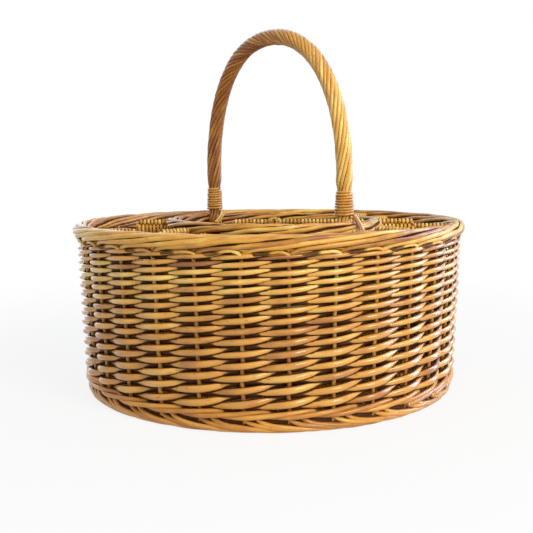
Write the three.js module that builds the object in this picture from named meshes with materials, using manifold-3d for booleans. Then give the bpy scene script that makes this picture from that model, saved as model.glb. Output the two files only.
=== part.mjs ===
// Round wicker drinks basket with a fixed bow handle, half a metre across.
// Lengths are millimetres, +Z is up, and the origin is the middle of the foot on the floor.
// The bow stands along X. Its legs are pushed down into the woven wall of the inner ring.
// Eight partitions share out the space between the two walls, and a cross parts the inner ring.
import * as THREE from 'three';
import Module from 'manifold-3d';
import { mergeVertices } from 'three/addons/utils/BufferGeometryUtils.js';

const wasm = await Module();
wasm.setup();

// Fits
const seatGap = 0.3;
const dividerGap = 0.6;
const mergeTolerance = 0.0001;
const cutOverrun = 5;

// Foot: a rolled border that is worn flat where it stands
const footRadius = 229;
const footTubeRadius = 6.8;
const footFlatDepth = 1.2;
const footLobeDepth = 0.6;
const footStrands = 4;
const footTurns = -8;

// Base panel: rods woven on sticks that spread from the middle
const basePanelThickness = 7;
const baseSticks = 24;
const baseCourses = 7;
const baseRelief = 2.2;
const baseSeatWidth = 2.5;

// Side wall: a waled band at the foot, then plain weaving up to the rim
const wallStakes = 30;
const wallThickness = 10;
const wallRelief = 2;
const waleHeight = 14;
const waleThickness = 10;
const waleRelief = 1;
const waleCourses = 3;
const waleGroove = 2;
const waleBackCourses = 1;
const wallCourses = 20;
const wallGroove = 3;
const wallBackCourses = 4;
const wallFootSetIn = 2;

// Gaps in the weave: slots beside every second stake in some courses, the last row under the rim
const wallGapRows = 4;
const wallGapEvery = 2;
const wallGapWidth = 20;
const wallGapHeight = 3.6;

// Rim: the stakes rolled down into a thick roped border
const rimRadius = 240;
const rimTubeRadius = 9.6;
const rimTopHeight = 211.6;
const rimSetOut = 2.8;
const rimLobeDepth = 1.4;
const rimStrands = 6;
const rimTurns = 4;
const rimColumns = 60;

// Inner ring: a second woven wall with its own border, a little off the middle
const innerRadius = 124.5;
const innerShiftX = 5.5;
const innerShiftY = 4.5;
const innerStakes = 16;
const innerThickness = 10.4;
const innerRelief = 1;
const innerCourses = 9;
const innerBackCourses = 4;
const innerGroove = 1.5;
const innerBorderSetOut = 4;
const innerBorderTubeRadius = 8.5;
const innerBorderLobeDepth = 0.9;
const innerBorderTurns = 3;
const innerBorderColumns = 40;

// Partitions: upright rods woven over cross sticks, with a wrapped rail on top
const ringDividers = 8;
const dividerDrop = 2;
const dividerThickness = 8;
const dividerRodPitch = 15;
const dividerRodRelief = 1;
const dividerRailHeight = 10;
const dividerRailThickness = 11;
const dividerRailChamfer = 2.5;

// Bow handle: a stout rod roped over with thinner ones
const bowLegRadius = 124;
const bowSpringHeight = 264;
const bowTopHeight = 451;
const bowFullness = 2.2;
const bowLean = -5.5;
const bowTubeRadius = 9.9;
const bowLobeDepth = 0.9;
const bowStrands = 5;
const bowLayLength = 120;
const bowArchSteps = 44;
const bowLegFoot = 5;
const bowSplay = 6;

// Spigots: the cut ends of the bow, tapered and pushed down into the inner wall
const spigotRadius = 3.5;
const spigotTipRadius = 2.5;
const spigotLength = 110;
const spigotSides = 8;

// Bindings: a thin rod wound round each leg just above the border
const bindingTubeRadius = 1.55;
const bindingPitch = 3.7;
const bindingTurns = 8;
const bindingFootRadius = 10;
const bindingHeadRadius = 8.4;
const bindingRise = 7;
const bindingSteps = 10;
const bindingSides = 5;
const bindingShoulder = 5;

const honey = new THREE.MeshStandardMaterial({ color: 0xc98f42, roughness: 0.55, metalness: 0 });
const amber = new THREE.MeshStandardMaterial({ color: 0xb9752f, roughness: 0.55, metalness: 0 });
const golden = new THREE.MeshStandardMaterial({ color: 0xd9a04a, roughness: 0.45, metalness: 0 });
const russet = new THREE.MeshStandardMaterial({ color: 0x9c5a26, roughness: 0.5, metalness: 0 });

// Heights and places worked out from the sizes above
const innerCentre = new THREE.Vector3(innerShiftX, innerShiftY, 0);
const footCentreHeight = footTubeRadius - footFlatDepth;
const footTopHeight = footCentreHeight + footTubeRadius;
const baseBottomHeight = footTopHeight + seatGap;
const baseTopHeight = baseBottomHeight + basePanelThickness;
const floorHeight = baseTopHeight + baseRelief;
const baseEdgeRadius = footRadius - footTubeRadius + baseSeatWidth;
const waleBottomHeight = footTopHeight + seatGap;
const waleTopHeight = waleBottomHeight + waleHeight;
const waleRadius = baseEdgeRadius + seatGap + waleRelief + waleThickness / 2;
const wallBottomHeight = waleTopHeight + seatGap;
const rimCentreHeight = rimTopHeight - rimTubeRadius;
const wallTopHeight = rimCentreHeight - rimTubeRadius - seatGap;
const wallFootRadius = waleRadius - wallFootSetIn;
const wallTopRadius = rimRadius - rimSetOut;
const innerBorderRadius = innerRadius + innerBorderSetOut;
const innerBorderHeight = rimTopHeight - innerBorderTubeRadius;
const innerWallTopHeight = innerBorderHeight - innerBorderTubeRadius - seatGap;
const innerWallBottomHeight = floorHeight + seatGap;
const innerWallFace = innerRadius + innerThickness / 2 + innerRelief;
const innerWallBore = innerRadius - innerThickness / 2 - innerRelief;
const dividerTopHeight = rimTopHeight - dividerDrop;
const dividerBottomHeight = floorHeight + seatGap;
const bowCentreTop = bowTopHeight - bowTubeRadius;
const bowFootHeight = rimTopHeight - bowLegFoot;
const bindingBottomHeight = rimTopHeight + bindingRise;
const bindingTopHeight = bindingBottomHeight + bindingTurns * bindingPitch;
const spigotTopHeight = rimTopHeight + bindingRise;
const spigotBottomHeight = rimTopHeight - spigotLength;

function mix(start, end, share) {
  return start + (end - start) * share;
}

// A closed surface from rings of points; a ring of one point closes an end.
function solidFromRings(rings, loops = false) {
  const positions = [];
  const starts = rings.map((ring) => {
    const start = positions.length / 3;
    ring.forEach((point) => positions.push(point.x, point.y, point.z));
    return start;
  });
  const triangles = [];
  const bands = loops ? rings.length : rings.length - 1;
  for (let band = 0; band < bands; band += 1) {
    const next = (band + 1) % rings.length;
    const sides = Math.max(rings[band].length, rings[next].length);
    for (let side = 0; side < sides; side += 1) {
      const after = (side + 1) % sides;
      const lower = rings[band].length > 1 ? [side, after] : [0, 0];
      const upper = rings[next].length > 1 ? [side, after] : [0, 0];
      const a = starts[band] + lower[0];
      const b = starts[band] + lower[1];
      const c = starts[next] + upper[1];
      const d = starts[next] + upper[0];
      if (a !== b) triangles.push(a, b, c);
      if (c !== d) triangles.push(a, c, d);
    }
  }
  const geometry = new THREE.BufferGeometry();
  geometry.setAttribute('position', new THREE.Float32BufferAttribute(positions, 3));
  geometry.setIndex(triangles);
  return facingOut(geometry);
}

// Turns every face round when the surface encloses a negative volume.
function facingOut(geometry) {
  const positions = geometry.getAttribute('position');
  const triangles = Array.from(geometry.index.array);
  const corner = (index) => new THREE.Vector3().fromBufferAttribute(positions, triangles[index]);
  let volume = 0;
  for (let index = 0; index < triangles.length; index += 3) {
    volume += corner(index).dot(corner(index + 1).cross(corner(index + 2)));
  }
  if (volume < 0) geometry.setIndex(triangles.reverse());
  return geometry;
}

function toSolid(geometry) {
  const bare = new THREE.BufferGeometry();
  bare.setAttribute('position', geometry.getAttribute('position'));
  bare.setIndex(geometry.index);
  const merged = mergeVertices(bare, mergeTolerance);
  return new wasm.Manifold(new wasm.Mesh({
    numProp: 3,
    vertProperties: new Float32Array(merged.getAttribute('position').array),
    triVerts: new Uint32Array(merged.index.array),
  }));
}

function toGeometry(solid) {
  const { vertProperties, triVerts } = solid.getMesh();
  const geometry = new THREE.BufferGeometry();
  geometry.setAttribute('position', new THREE.Float32BufferAttribute(vertProperties, 3));
  geometry.setIndex(Array.from(triVerts));
  return geometry;
}

function namedMesh(name, geometry, material) {
  const faceted = geometry.index ? geometry.toNonIndexed() : geometry;
  faceted.deleteAttribute('normal');
  faceted.computeVertexNormals();
  const mesh = new THREE.Mesh(faceted, material);
  mesh.name = name;
  return mesh;
}

function ringPoint(angle, radius, height, centre = new THREE.Vector3()) {
  return new THREE.Vector3(
    centre.x + radius * Math.cos(angle),
    centre.y + radius * Math.sin(angle),
    height,
  );
}

// A rolled border: a tube whose strands wind round it as it goes round the basket.
function ropedRing({ radius, height, tubeRadius, lobeDepth, strands, turns, columns, centre }) {
  const rings = [];
  for (let column = 0; column < columns; column += 1) {
    const angle = (2 * Math.PI * column) / columns;
    const ring = [];
    for (let point = 0; point < 2 * strands; point += 1) {
      const around = (Math.PI * point) / strands + turns * angle;
      const reach = tubeRadius - (point % 2) * lobeDepth;
      const out = radius + reach * Math.cos(around);
      ring.push(ringPoint(angle, out, height + reach * Math.sin(around), centre));
    }
    rings.push(ring);
  }
  return solidFromRings(rings, true);
}

// Heights up one face of a woven band, as shares, with the course at each and how deep it lies.
function weaveLevels(courses, groove) {
  const levels = [{ share: 0, course: 0, sunk: groove }];
  for (let course = 1; course <= courses; course += 1) {
    levels.push({ share: (course - 0.5) / courses, course, sunk: 0 });
    if (groove > 0 || course === courses) {
      levels.push({ share: course / courses, course: 0, sunk: groove });
    }
  }
  return levels;
}

// A woven band: at each stake a course passes outside or inside, by turns, and grooves part them.
function wovenBand({
  bottom, top, bottomRadius, topRadius, thickness, relief, groove,
  stakes, courses, backCourses, passes, centre,
}) {
  const columns = 2 * stakes;
  const front = weaveLevels(courses, groove);
  const back = weaveLevels(backCourses, 0).reverse();
  const rings = [];
  for (let column = 0; column < columns; column += 1) {
    const angle = (2 * Math.PI * column) / columns;
    const facePoint = (level, side) => {
      const woven = level.course > 0 && column % 2 === 0;
      const offset = woven ? relief * passes(column / 2, level.course) : 0;
      const middle = mix(bottomRadius, topRadius, level.share);
      const out = middle + side * (thickness / 2 - level.sunk) + offset;
      return ringPoint(angle, out, mix(bottom, top, level.share), centre);
    };
    rings.push([
      ...front.map((level) => facePoint(level, 1)),
      ...back.map((level) => facePoint(level, -1)),
    ]);
  }
  return solidFromRings(rings, true);
}

const overOneUnderOne = (stake, course) => ((stake + course) % 2 === 0 ? 1 : -1);
const overTwoUnderOne = (stake, course) => ((stake + course) % 3 === 0 ? -1 : 1);

function footBorder() {
  const ring = ropedRing({
    radius: footRadius,
    height: footCentreHeight,
    tubeRadius: footTubeRadius,
    lobeDepth: footLobeDepth,
    strands: footStrands,
    turns: footTurns,
    columns: 2 * wallStakes,
    centre: new THREE.Vector3(),
  });
  const width = 2 * (footRadius + footTubeRadius + cutOverrun);
  const floorBlock = new THREE.BoxGeometry(width, width, footTubeRadius);
  floorBlock.translate(0, 0, -footTubeRadius / 2);
  return toGeometry(toSolid(ring).subtract(toSolid(floorBlock)));
}

function basePanel() {
  const face = (height, side) => {
    const rings = [[new THREE.Vector3(0, 0, height)]];
    for (let course = 1; course <= baseCourses; course += 1) {
      const radius = (baseEdgeRadius * course) / baseCourses;
      const ring = [];
      for (let stick = 0; stick < baseSticks; stick += 1) {
        const lift = course < baseCourses ? baseRelief * overOneUnderOne(stick, course) : 0;
        ring.push(ringPoint((2 * Math.PI * stick) / baseSticks, radius, height + side * lift));
      }
      rings.push(ring);
    }
    return rings;
  };
  return solidFromRings([...face(baseBottomHeight, 1), ...face(baseTopHeight, 1).reverse()]);
}

function baseWale() {
  return wovenBand({
    bottom: waleBottomHeight,
    top: waleTopHeight,
    bottomRadius: waleRadius,
    topRadius: waleRadius,
    thickness: waleThickness,
    relief: waleRelief,
    groove: waleGroove,
    stakes: wallStakes,
    courses: waleCourses,
    backCourses: waleBackCourses,
    passes: overTwoUnderOne,
    centre: new THREE.Vector3(),
  });
}

// The rows are staggered, like the gaps between real rods.
function wallGaps() {
  const slots = [];
  for (let row = 1; row <= wallGapRows; row += 1) {
    const course = Math.round((wallCourses * row) / wallGapRows);
    const share = (course - 0.75) / wallCourses;
    for (let stake = row % wallGapEvery; stake < wallStakes; stake += wallGapEvery) {
      const slot = new THREE.BoxGeometry(wallThickness + 2 * cutOverrun, wallGapWidth, wallGapHeight);
      slot.translate(mix(wallFootRadius, wallTopRadius, share), 0, mix(wallBottomHeight, wallTopHeight, share));
      slot.rotateZ((2 * Math.PI * (stake + 0.25)) / wallStakes);
      slots.push(toSolid(slot));
    }
  }
  return wasm.Manifold.union(slots);
}

function sideWall() {
  const band = wovenBand({
    bottom: wallBottomHeight,
    top: wallTopHeight,
    bottomRadius: wallFootRadius,
    topRadius: wallTopRadius,
    thickness: wallThickness,
    relief: wallRelief,
    groove: wallGroove,
    stakes: wallStakes,
    courses: wallCourses,
    backCourses: wallBackCourses,
    passes: overOneUnderOne,
    centre: new THREE.Vector3(),
  });
  return toGeometry(toSolid(band).subtract(wallGaps()));
}

function rimBorder() {
  return ropedRing({
    radius: rimRadius,
    height: rimCentreHeight,
    tubeRadius: rimTubeRadius,
    lobeDepth: rimLobeDepth,
    strands: rimStrands,
    turns: rimTurns,
    columns: rimColumns,
    centre: new THREE.Vector3(),
  });
}

// The spigot of one leg, or its hole when a clearance is given.
function spigot(side, clearance = 0) {
  const x = innerCentre.x + side * bowLegRadius;
  const centreAt = (height) => new THREE.Vector3(x, innerCentre.y, height);
  const ringAt = (height, radius) => {
    const ring = [];
    for (let point = 0; point < spigotSides; point += 1) {
      ring.push(ringPoint((2 * Math.PI * point) / spigotSides, radius, height, centreAt(height)));
    }
    return ring;
  };
  const top = spigotTopHeight;
  const bottom = spigotBottomHeight - clearance;
  return solidFromRings([
    [centreAt(bottom)],
    ringAt(bottom, spigotTipRadius + clearance),
    ringAt(top, spigotRadius + clearance),
    [centreAt(top)],
  ]);
}

function boredForSpigots(geometry) {
  return toGeometry([1, -1].reduce(
    (solid, side) => solid.subtract(toSolid(spigot(side, seatGap))),
    toSolid(geometry),
  ));
}

function innerWall() {
  return boredForSpigots(wovenBand({
    bottom: innerWallBottomHeight,
    top: innerWallTopHeight,
    bottomRadius: innerRadius,
    topRadius: innerRadius,
    thickness: innerThickness,
    relief: innerRelief,
    groove: innerGroove,
    stakes: innerStakes,
    courses: innerCourses,
    backCourses: innerBackCourses,
    passes: overOneUnderOne,
    centre: innerCentre,
  }));
}

function innerBorderRing(tubeRadius, lobeDepth) {
  return ropedRing({
    radius: innerBorderRadius,
    height: innerBorderHeight,
    tubeRadius,
    lobeDepth,
    strands: rimStrands,
    turns: innerBorderTurns,
    columns: innerBorderColumns,
    centre: innerCentre,
  });
}

function innerBorder() {
  return boredForSpigots(innerBorderRing(innerBorderTubeRadius, innerBorderLobeDepth));
}

// Upright rods stand side by side as ribs on both faces of a partition.
function uprightRods(start, end) {
  const rods = Math.max(1, Math.round((end - start) / dividerRodPitch));
  const faceAt = (step) => dividerThickness / 2 + (step % 2) * dividerRodRelief;
  const outline = new THREE.Shape();
  outline.moveTo(start, -faceAt(0));
  for (let step = 1; step <= 2 * rods; step += 1) {
    outline.lineTo(mix(start, end, step / (2 * rods)), -faceAt(step));
  }
  for (let step = 2 * rods; step >= 0; step -= 1) {
    outline.lineTo(mix(start, end, step / (2 * rods)), faceAt(step));
  }
  const depth = dividerTopHeight - dividerRailHeight / 2 - dividerBottomHeight;
  const rodsSolid = new THREE.ExtrudeGeometry(outline, { depth, bevelEnabled: false });
  rodsSolid.translate(0, 0, dividerBottomHeight);
  return rodsSolid;
}

// The wrapped rail along the top edge: a bar with its corners taken off.
function topRail(start, end) {
  const half = dividerRailThickness / 2;
  const low = dividerTopHeight - dividerRailHeight;
  const outline = new THREE.Shape([
    new THREE.Vector2(-half + dividerRailChamfer, low),
    new THREE.Vector2(half - dividerRailChamfer, low),
    new THREE.Vector2(half, low + dividerRailChamfer),
    new THREE.Vector2(half, dividerTopHeight - dividerRailChamfer),
    new THREE.Vector2(half - dividerRailChamfer, dividerTopHeight),
    new THREE.Vector2(-half + dividerRailChamfer, dividerTopHeight),
    new THREE.Vector2(-half, dividerTopHeight - dividerRailChamfer),
    new THREE.Vector2(-half, low + dividerRailChamfer),
  ]);
  const rail = new THREE.ExtrudeGeometry(outline, { depth: end - start, bevelEnabled: false });
  rail.applyMatrix4(new THREE.Matrix4().makeBasis(
    new THREE.Vector3(0, 1, 0),
    new THREE.Vector3(0, 0, 1),
    new THREE.Vector3(1, 0, 0),
  ));
  rail.translate(start, 0, 0);
  return rail;
}

// A partition along X, trimmed to a side outline of distances and heights.
function partition(outline) {
  const starts = outline.map((point) => point.x);
  const start = Math.min(...starts);
  const end = Math.max(...starts);
  const depth = dividerRailThickness + 2 * cutOverrun;
  const corners = outline.filter((point, index) => index === 0 || !point.equals(outline[index - 1]));
  const trim = new THREE.ExtrudeGeometry(new THREE.Shape(corners), { depth, bevelEnabled: false });
  trim.translate(0, 0, -depth / 2);
  trim.applyMatrix4(new THREE.Matrix4().makeBasis(
    new THREE.Vector3(1, 0, 0),
    new THREE.Vector3(0, 0, 1),
    new THREE.Vector3(0, -1, 0),
  ));
  const panel = toSolid(uprightRods(start, end)).add(toSolid(topRail(start, end)));
  return toGeometry(panel.intersect(toSolid(trim)));
}

// Distance from the middle of the inner ring, along an angle, to a circle round the basket.
function reachToCircle(angle, radius) {
  const along = innerCentre.x * Math.cos(angle) + innerCentre.y * Math.sin(angle);
  return Math.sqrt(along ** 2 - innerCentre.lengthSq() + radius ** 2) - along;
}

function ringDivider(angle) {
  const wallShareAt = (height) => (height - wallBottomHeight) / (wallTopHeight - wallBottomHeight);
  const wallFaceAt = (height) => mix(wallFootRadius, wallTopRadius, wallShareAt(height))
    - wallThickness / 2 - wallRelief;
  const waleFace = waleRadius - waleThickness / 2 - waleRelief;
  const rimFace = Math.min(rimRadius - rimTubeRadius, wallFaceAt(wallTopHeight));
  const outer = (radius) => reachToCircle(angle, radius) - dividerGap;
  const borderFace = innerBorderRadius + innerBorderTubeRadius;
  const footFace = Math.min(waleFace, wallFaceAt(wallBottomHeight));
  const notchHeight = Math.min(innerWallTopHeight - dividerGap, dividerTopHeight);
  const shoulderHeight = Math.min(wallTopHeight, dividerTopHeight);
  const panel = partition([
    new THREE.Vector2(innerWallFace + dividerGap, dividerBottomHeight),
    new THREE.Vector2(outer(footFace), dividerBottomHeight),
    new THREE.Vector2(outer(footFace), wallBottomHeight),
    new THREE.Vector2(outer(rimFace), shoulderHeight),
    new THREE.Vector2(outer(rimFace), dividerTopHeight),
    new THREE.Vector2(borderFace + dividerGap, dividerTopHeight),
    new THREE.Vector2(borderFace + dividerGap, notchHeight),
    new THREE.Vector2(innerWallFace + dividerGap, notchHeight),
  ]);
  panel.rotateZ(angle);
  panel.translate(innerCentre.x, innerCentre.y, 0);
  return panel;
}

function bottleDivider(start, end, angle) {
  const panel = partition([
    new THREE.Vector2(start, dividerBottomHeight),
    new THREE.Vector2(end, dividerBottomHeight),
    new THREE.Vector2(end, dividerTopHeight),
    new THREE.Vector2(start, dividerTopHeight),
  ]);
  panel.rotateZ(angle);
  panel.translate(innerCentre.x, innerCentre.y, 0);
  return panel;
}

// The arch of the bow, from the left leg over to the right one, fuller than an ellipse.
class BowArch extends THREE.Curve {
  getPoint(share, target = new THREE.Vector3()) {
    const angle = Math.PI * (1 - share);
    const power = 2 / bowFullness;
    const across = Math.sign(Math.cos(angle)) * Math.abs(Math.cos(angle)) ** power;
    const rise = Math.abs(Math.sin(angle)) ** power;
    return target.set(
      innerCentre.x + bowLegRadius * across + bowLean * rise ** 2,
      innerCentre.y,
      mix(bowSpringHeight, bowCentreTop, rise),
    );
  }
}

// Radius of the roped bow by the height above the floor of its lower ends.
function bowSectionAt(height) {
  const grip = bindingTubeRadius + seatGap;
  const stops = [
    { height: bowFootHeight, radius: bowTubeRadius, lobe: bowLobeDepth },
    { height: bindingBottomHeight - bowSplay, radius: bowTubeRadius, lobe: bowLobeDepth },
    { height: bindingBottomHeight - bindingTubeRadius, radius: bindingFootRadius - grip, lobe: 0 },
    { height: bindingTopHeight + bindingTubeRadius, radius: bindingHeadRadius - grip, lobe: 0 },
    { height: bindingTopHeight + bindingShoulder, radius: bowTubeRadius, lobe: bowLobeDepth },
  ];
  const above = stops.findIndex((stop) => stop.height > height);
  if (above < 0) return { radius: bowTubeRadius, lobe: bowLobeDepth };
  if (above === 0) return stops[0];
  const share = (height - stops[above - 1].height) / (stops[above].height - stops[above - 1].height);
  return {
    radius: mix(stops[above - 1].radius, stops[above].radius, share),
    lobe: mix(stops[above - 1].lobe, stops[above].lobe, share),
  };
}

function bowStations() {
  const x = innerCentre.x;
  const legHeights = [
    bowFootHeight,
    bindingBottomHeight - bowSplay,
    bindingBottomHeight - bindingTubeRadius,
    mix(bindingBottomHeight, bindingTopHeight, 0.5),
    bindingTopHeight + bindingTubeRadius,
    bindingTopHeight + bindingShoulder,
  ];
  const legPoints = (side) => legHeights.map(
    (height) => new THREE.Vector3(x + side * bowLegRadius, innerCentre.y, height),
  );
  const archPoints = new BowArch().getSpacedPoints(bowArchSteps);
  return [...legPoints(-1), ...archPoints, ...legPoints(1).reverse()];
}

function handleBow() {
  const stations = bowStations();
  const across = new THREE.Vector3(0, 1, 0);
  let travelled = 0;
  const rings = stations.map((station, index) => {
    const before = stations[Math.max(index - 1, 0)];
    const after = stations[Math.min(index + 1, stations.length - 1)];
    const along = after.clone().sub(before).normalize();
    const outward = across.clone().cross(along);
    travelled += station.distanceTo(before);
    const { radius, lobe } = bowSectionAt(station.z);
    const ring = [];
    for (let point = 0; point < 2 * bowStrands; point += 1) {
      const around = (Math.PI * point) / bowStrands + (2 * Math.PI * travelled) / bowLayLength;
      const reach = radius - (point % 2) * lobe;
      ring.push(station.clone()
        .addScaledVector(outward, reach * Math.cos(around))
        .addScaledVector(across, -reach * Math.sin(around)));
    }
    return ring;
  });
  const rope = solidFromRings([[stations[0]], ...rings, [stations[stations.length - 1]]]);
  const saddle = innerBorderRing(innerBorderTubeRadius + seatGap, 0);
  return toGeometry([1, -1].reduce(
    (solid, side) => solid.add(toSolid(spigot(side))),
    toSolid(rope).subtract(toSolid(saddle)),
  ));
}

// One rod wound upwards round a leg, with a short straight tail at each end.
function bindingPath(side) {
  const steps = bindingTurns * bindingSteps;
  const axis = new THREE.Vector3(innerCentre.x + side * bowLegRadius, innerCentre.y, 0);
  const points = [];
  for (let step = 0; step <= steps; step += 1) {
    const angle = (2 * Math.PI * step) / bindingSteps;
    const radius = mix(bindingFootRadius, bindingHeadRadius, step / steps);
    points.push(ringPoint(angle, radius, mix(bindingBottomHeight, bindingTopHeight, step / steps), axis));
  }
  const tail = (end, inner) => end.clone().add(
    end.clone().sub(inner).setLength(2 * bindingTubeRadius),
  );
  return [tail(points[0], points[1]), ...points, tail(points[steps], points[steps - 1])];
}

// Least clear distance between turns, measured on the points of the middle line.
function leastSelfGap(points) {
  let least = Infinity;
  for (let first = 0; first < points.length; first += 1) {
    for (let second = first + bindingSteps / 2; second < points.length; second += 1) {
      least = Math.min(least, points[first].distanceTo(points[second]));
    }
  }
  return least - 2 * bindingTubeRadius;
}

function legBinding(side) {
  const points = bindingPath(side);
  const up = new THREE.Vector3(0, 0, 1);
  const rings = points.map((point, index) => {
    const before = points[Math.max(index - 1, 0)];
    const after = points[Math.min(index + 1, points.length - 1)];
    const along = after.clone().sub(before).normalize();
    const outward = along.clone().cross(up).normalize();
    const upward = outward.clone().cross(along);
    const ring = [];
    for (let corner = 0; corner < bindingSides; corner += 1) {
      const around = (2 * Math.PI * corner) / bindingSides;
      ring.push(point.clone()
        .addScaledVector(outward, bindingTubeRadius * Math.cos(around))
        .addScaledVector(upward, bindingTubeRadius * Math.sin(around)));
    }
    return ring;
  });
  console.log(`leg binding, least gap between turns: ${leastSelfGap(points).toFixed(2)} mm`);
  return solidFromRings([[points[0]], ...rings, [points[points.length - 1]]]);
}

const basket = new THREE.Group();

basket.add(
  namedMesh('foot_border', footBorder(), amber),
  namedMesh('base_panel', basePanel(), amber),
  namedMesh('base_wale', baseWale(), amber),
  namedMesh('side_wall', sideWall(), honey),
  namedMesh('rim_border', rimBorder(), golden),
  namedMesh('inner_wall', innerWall(), honey),
  namedMesh('inner_border', innerBorder(), golden),
);

for (let divider = 0; divider < ringDividers; divider += 1) {
  const angle = (2 * Math.PI * divider) / ringDividers;
  basket.add(namedMesh(`ring_divider_${divider + 1}`, ringDivider(angle), honey));
}

const crossAngle = Math.PI / ringDividers * 2;
const crossReach = innerWallBore - dividerGap;
const crossJoin = dividerRailThickness / 2 + dividerGap;
basket.add(
  namedMesh('bottle_divider_long', bottleDivider(-crossReach, crossReach, crossAngle), honey),
  namedMesh(
    'bottle_divider_short_1',
    bottleDivider(crossJoin, crossReach, crossAngle + Math.PI / 2),
    honey,
  ),
  namedMesh(
    'bottle_divider_short_2',
    bottleDivider(crossJoin, crossReach, crossAngle - Math.PI / 2),
    honey,
  ),
  namedMesh('handle_bow', handleBow(), golden),
  namedMesh('leg_binding_right', legBinding(1), russet),
  namedMesh('leg_binding_left', legBinding(-1), russet),
);

export default basket;
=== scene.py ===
"""Wicker drinks basket: every willow rod, woven, rolled or wound in its own place."""

import math

import bpy
import numpy as np
from mathutils import Matrix, Vector


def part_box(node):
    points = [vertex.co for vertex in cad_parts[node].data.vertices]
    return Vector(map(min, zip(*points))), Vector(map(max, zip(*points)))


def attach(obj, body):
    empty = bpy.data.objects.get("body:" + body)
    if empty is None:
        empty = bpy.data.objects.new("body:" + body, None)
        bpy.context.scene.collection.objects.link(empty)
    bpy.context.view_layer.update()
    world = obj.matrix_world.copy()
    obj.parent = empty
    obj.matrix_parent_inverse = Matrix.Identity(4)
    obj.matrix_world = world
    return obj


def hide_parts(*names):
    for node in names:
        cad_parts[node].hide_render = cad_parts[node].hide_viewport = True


bl_info = {
    "name": "Wicker drinks basket",
    "version": (1, 0, 0),
    "blender": (4, 5, 0),
    "location": "View3D > Sidebar > Basket",
    "description": "Weaves a round willow drinks basket with a roped bow handle, rod by rod",
    "category": "Add Mesh",
}

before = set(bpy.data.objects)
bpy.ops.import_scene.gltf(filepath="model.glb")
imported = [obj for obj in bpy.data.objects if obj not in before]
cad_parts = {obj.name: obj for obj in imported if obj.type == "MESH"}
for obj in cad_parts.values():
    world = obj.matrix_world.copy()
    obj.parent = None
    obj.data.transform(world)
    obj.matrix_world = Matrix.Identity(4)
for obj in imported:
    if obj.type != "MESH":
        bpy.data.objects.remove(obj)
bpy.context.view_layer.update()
BODY = "root"
TURN = 2 * math.pi
UPWARD = np.array([0.0, 0.0, 1.0])

WALL_LOW, WALL_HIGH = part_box("side_wall")
WALE_LOW, WALE_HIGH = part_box("base_wale")
FOOT_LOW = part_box("foot_border")[0]
RIM_LOW, RIM_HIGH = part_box("rim_border")
BASE_LOW, BASE_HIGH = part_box("base_panel")
INNER_LOW, INNER_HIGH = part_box("inner_wall")
RING_LOW, RING_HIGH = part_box("inner_border")
RIM_CENTRE_HEIGHT = (RIM_LOW.z + RIM_HIGH.z) / 2
RIM_TUBE_RADIUS = (RIM_HIGH.z - RIM_LOW.z) / 2
RING_CENTRE = (RING_LOW + RING_HIGH) / 2
RING_TUBE_RADIUS = (RING_HIGH.z - RING_LOW.z) / 2
FIRST_RING_STAKE = 0.1
# Hidden bundles in the borders and the bow are laid dark and in painted shade, so the gaps between strands
# show shade colour.
CORE_TONE = 0.1

# Rods that tie the right leg (1) and the left one (-1) down, each with its thickness and its tone.
# A rod runs through points given to the right of the leg, before it, and by height.
TIES = {
    1: (
        (0.0030, 0.10, ((0.0085, 0.004, 0.224), (0.0125, 0.008, 0.216),
                        (0.0165, 0.012, 0.207), (0.0195, 0.014, 0.198))),
        (0.0028, 0.00, ((0.0105, 0.003, 0.222), (0.0150, 0.007, 0.215),
                        (0.0190, 0.011, 0.206), (0.0220, 0.013, 0.197))),
        (0.0024, 0.95, ((0.0120, 0.002, 0.222), (0.0175, 0.006, 0.214),
                        (0.0215, 0.010, 0.205), (0.0245, 0.012, 0.196))),
    ),
    -1: (
        (0.0030, 1.00, ((0.0105, 0.006, 0.218), (0.0090, 0.009, 0.212),
                        (0.0050, 0.011, 0.206), (0.0010, 0.012, 0.202))),
        (0.0030, 0.90, ((0.0135, 0.005, 0.218), (0.0115, 0.008, 0.211),
                        (0.0080, 0.010, 0.205), (0.0040, 0.011, 0.201))),
    ),
}

# Each finish: how much lighter its bark is, how thick its varnish is, and how pale its cut ends are.
LOOKS = {
    "wall_willow": (0.0, 0.85, 0.8),
    "border_willow": (0.06, 0.32, 0.8),
    "base_willow": (-0.05, 0.45, 0.8),
    "divider_willow": (0.0, 0.15, 0.0),
    "handle_willow": (0.02, 0.45, 0.8),
    "binding_willow": (-0.02, 0.45, 0.8),
}
BARK_COLOURS = ("light", "middle", "dark", "red", "pale", "gap_shade", "low_shade")


def length(name, description, default, low=0.0, high=1.0):
    """A length that the user may change, in metres."""
    return bpy.props.FloatProperty(
        name=name, description=description, default=default, min=low, max=high,
        unit="LENGTH", subtype="DISTANCE", precision=4,
    )


def colour(name, description, default):
    """A colour that the user may change."""
    return bpy.props.FloatVectorProperty(
        name=name, description=description, default=default, size=3, min=0.0, max=1.0,
        subtype="COLOR",
    )


def count(name, description, default, low=1, high=400):
    """A whole number that the user may change."""
    return bpy.props.IntProperty(name=name, description=description, default=default, min=low, max=high)


def angle(name, description, degrees):
    """An angle that the user may change."""
    return bpy.props.FloatProperty(
        name=name, description=description, default=math.radians(degrees), subtype="ANGLE", unit="ROTATION",
    )


def number(name, description, default, unit="NONE"):
    """A plain number that the user may change."""
    return bpy.props.FloatProperty(name=name, description=description, default=default, unit=unit)


def share(name, description, default):
    """A plain share from nought to one."""
    return bpy.props.FloatProperty(
        name=name, description=description, default=default, min=0.0, max=1.0, subtype="FACTOR",
    )


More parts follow.
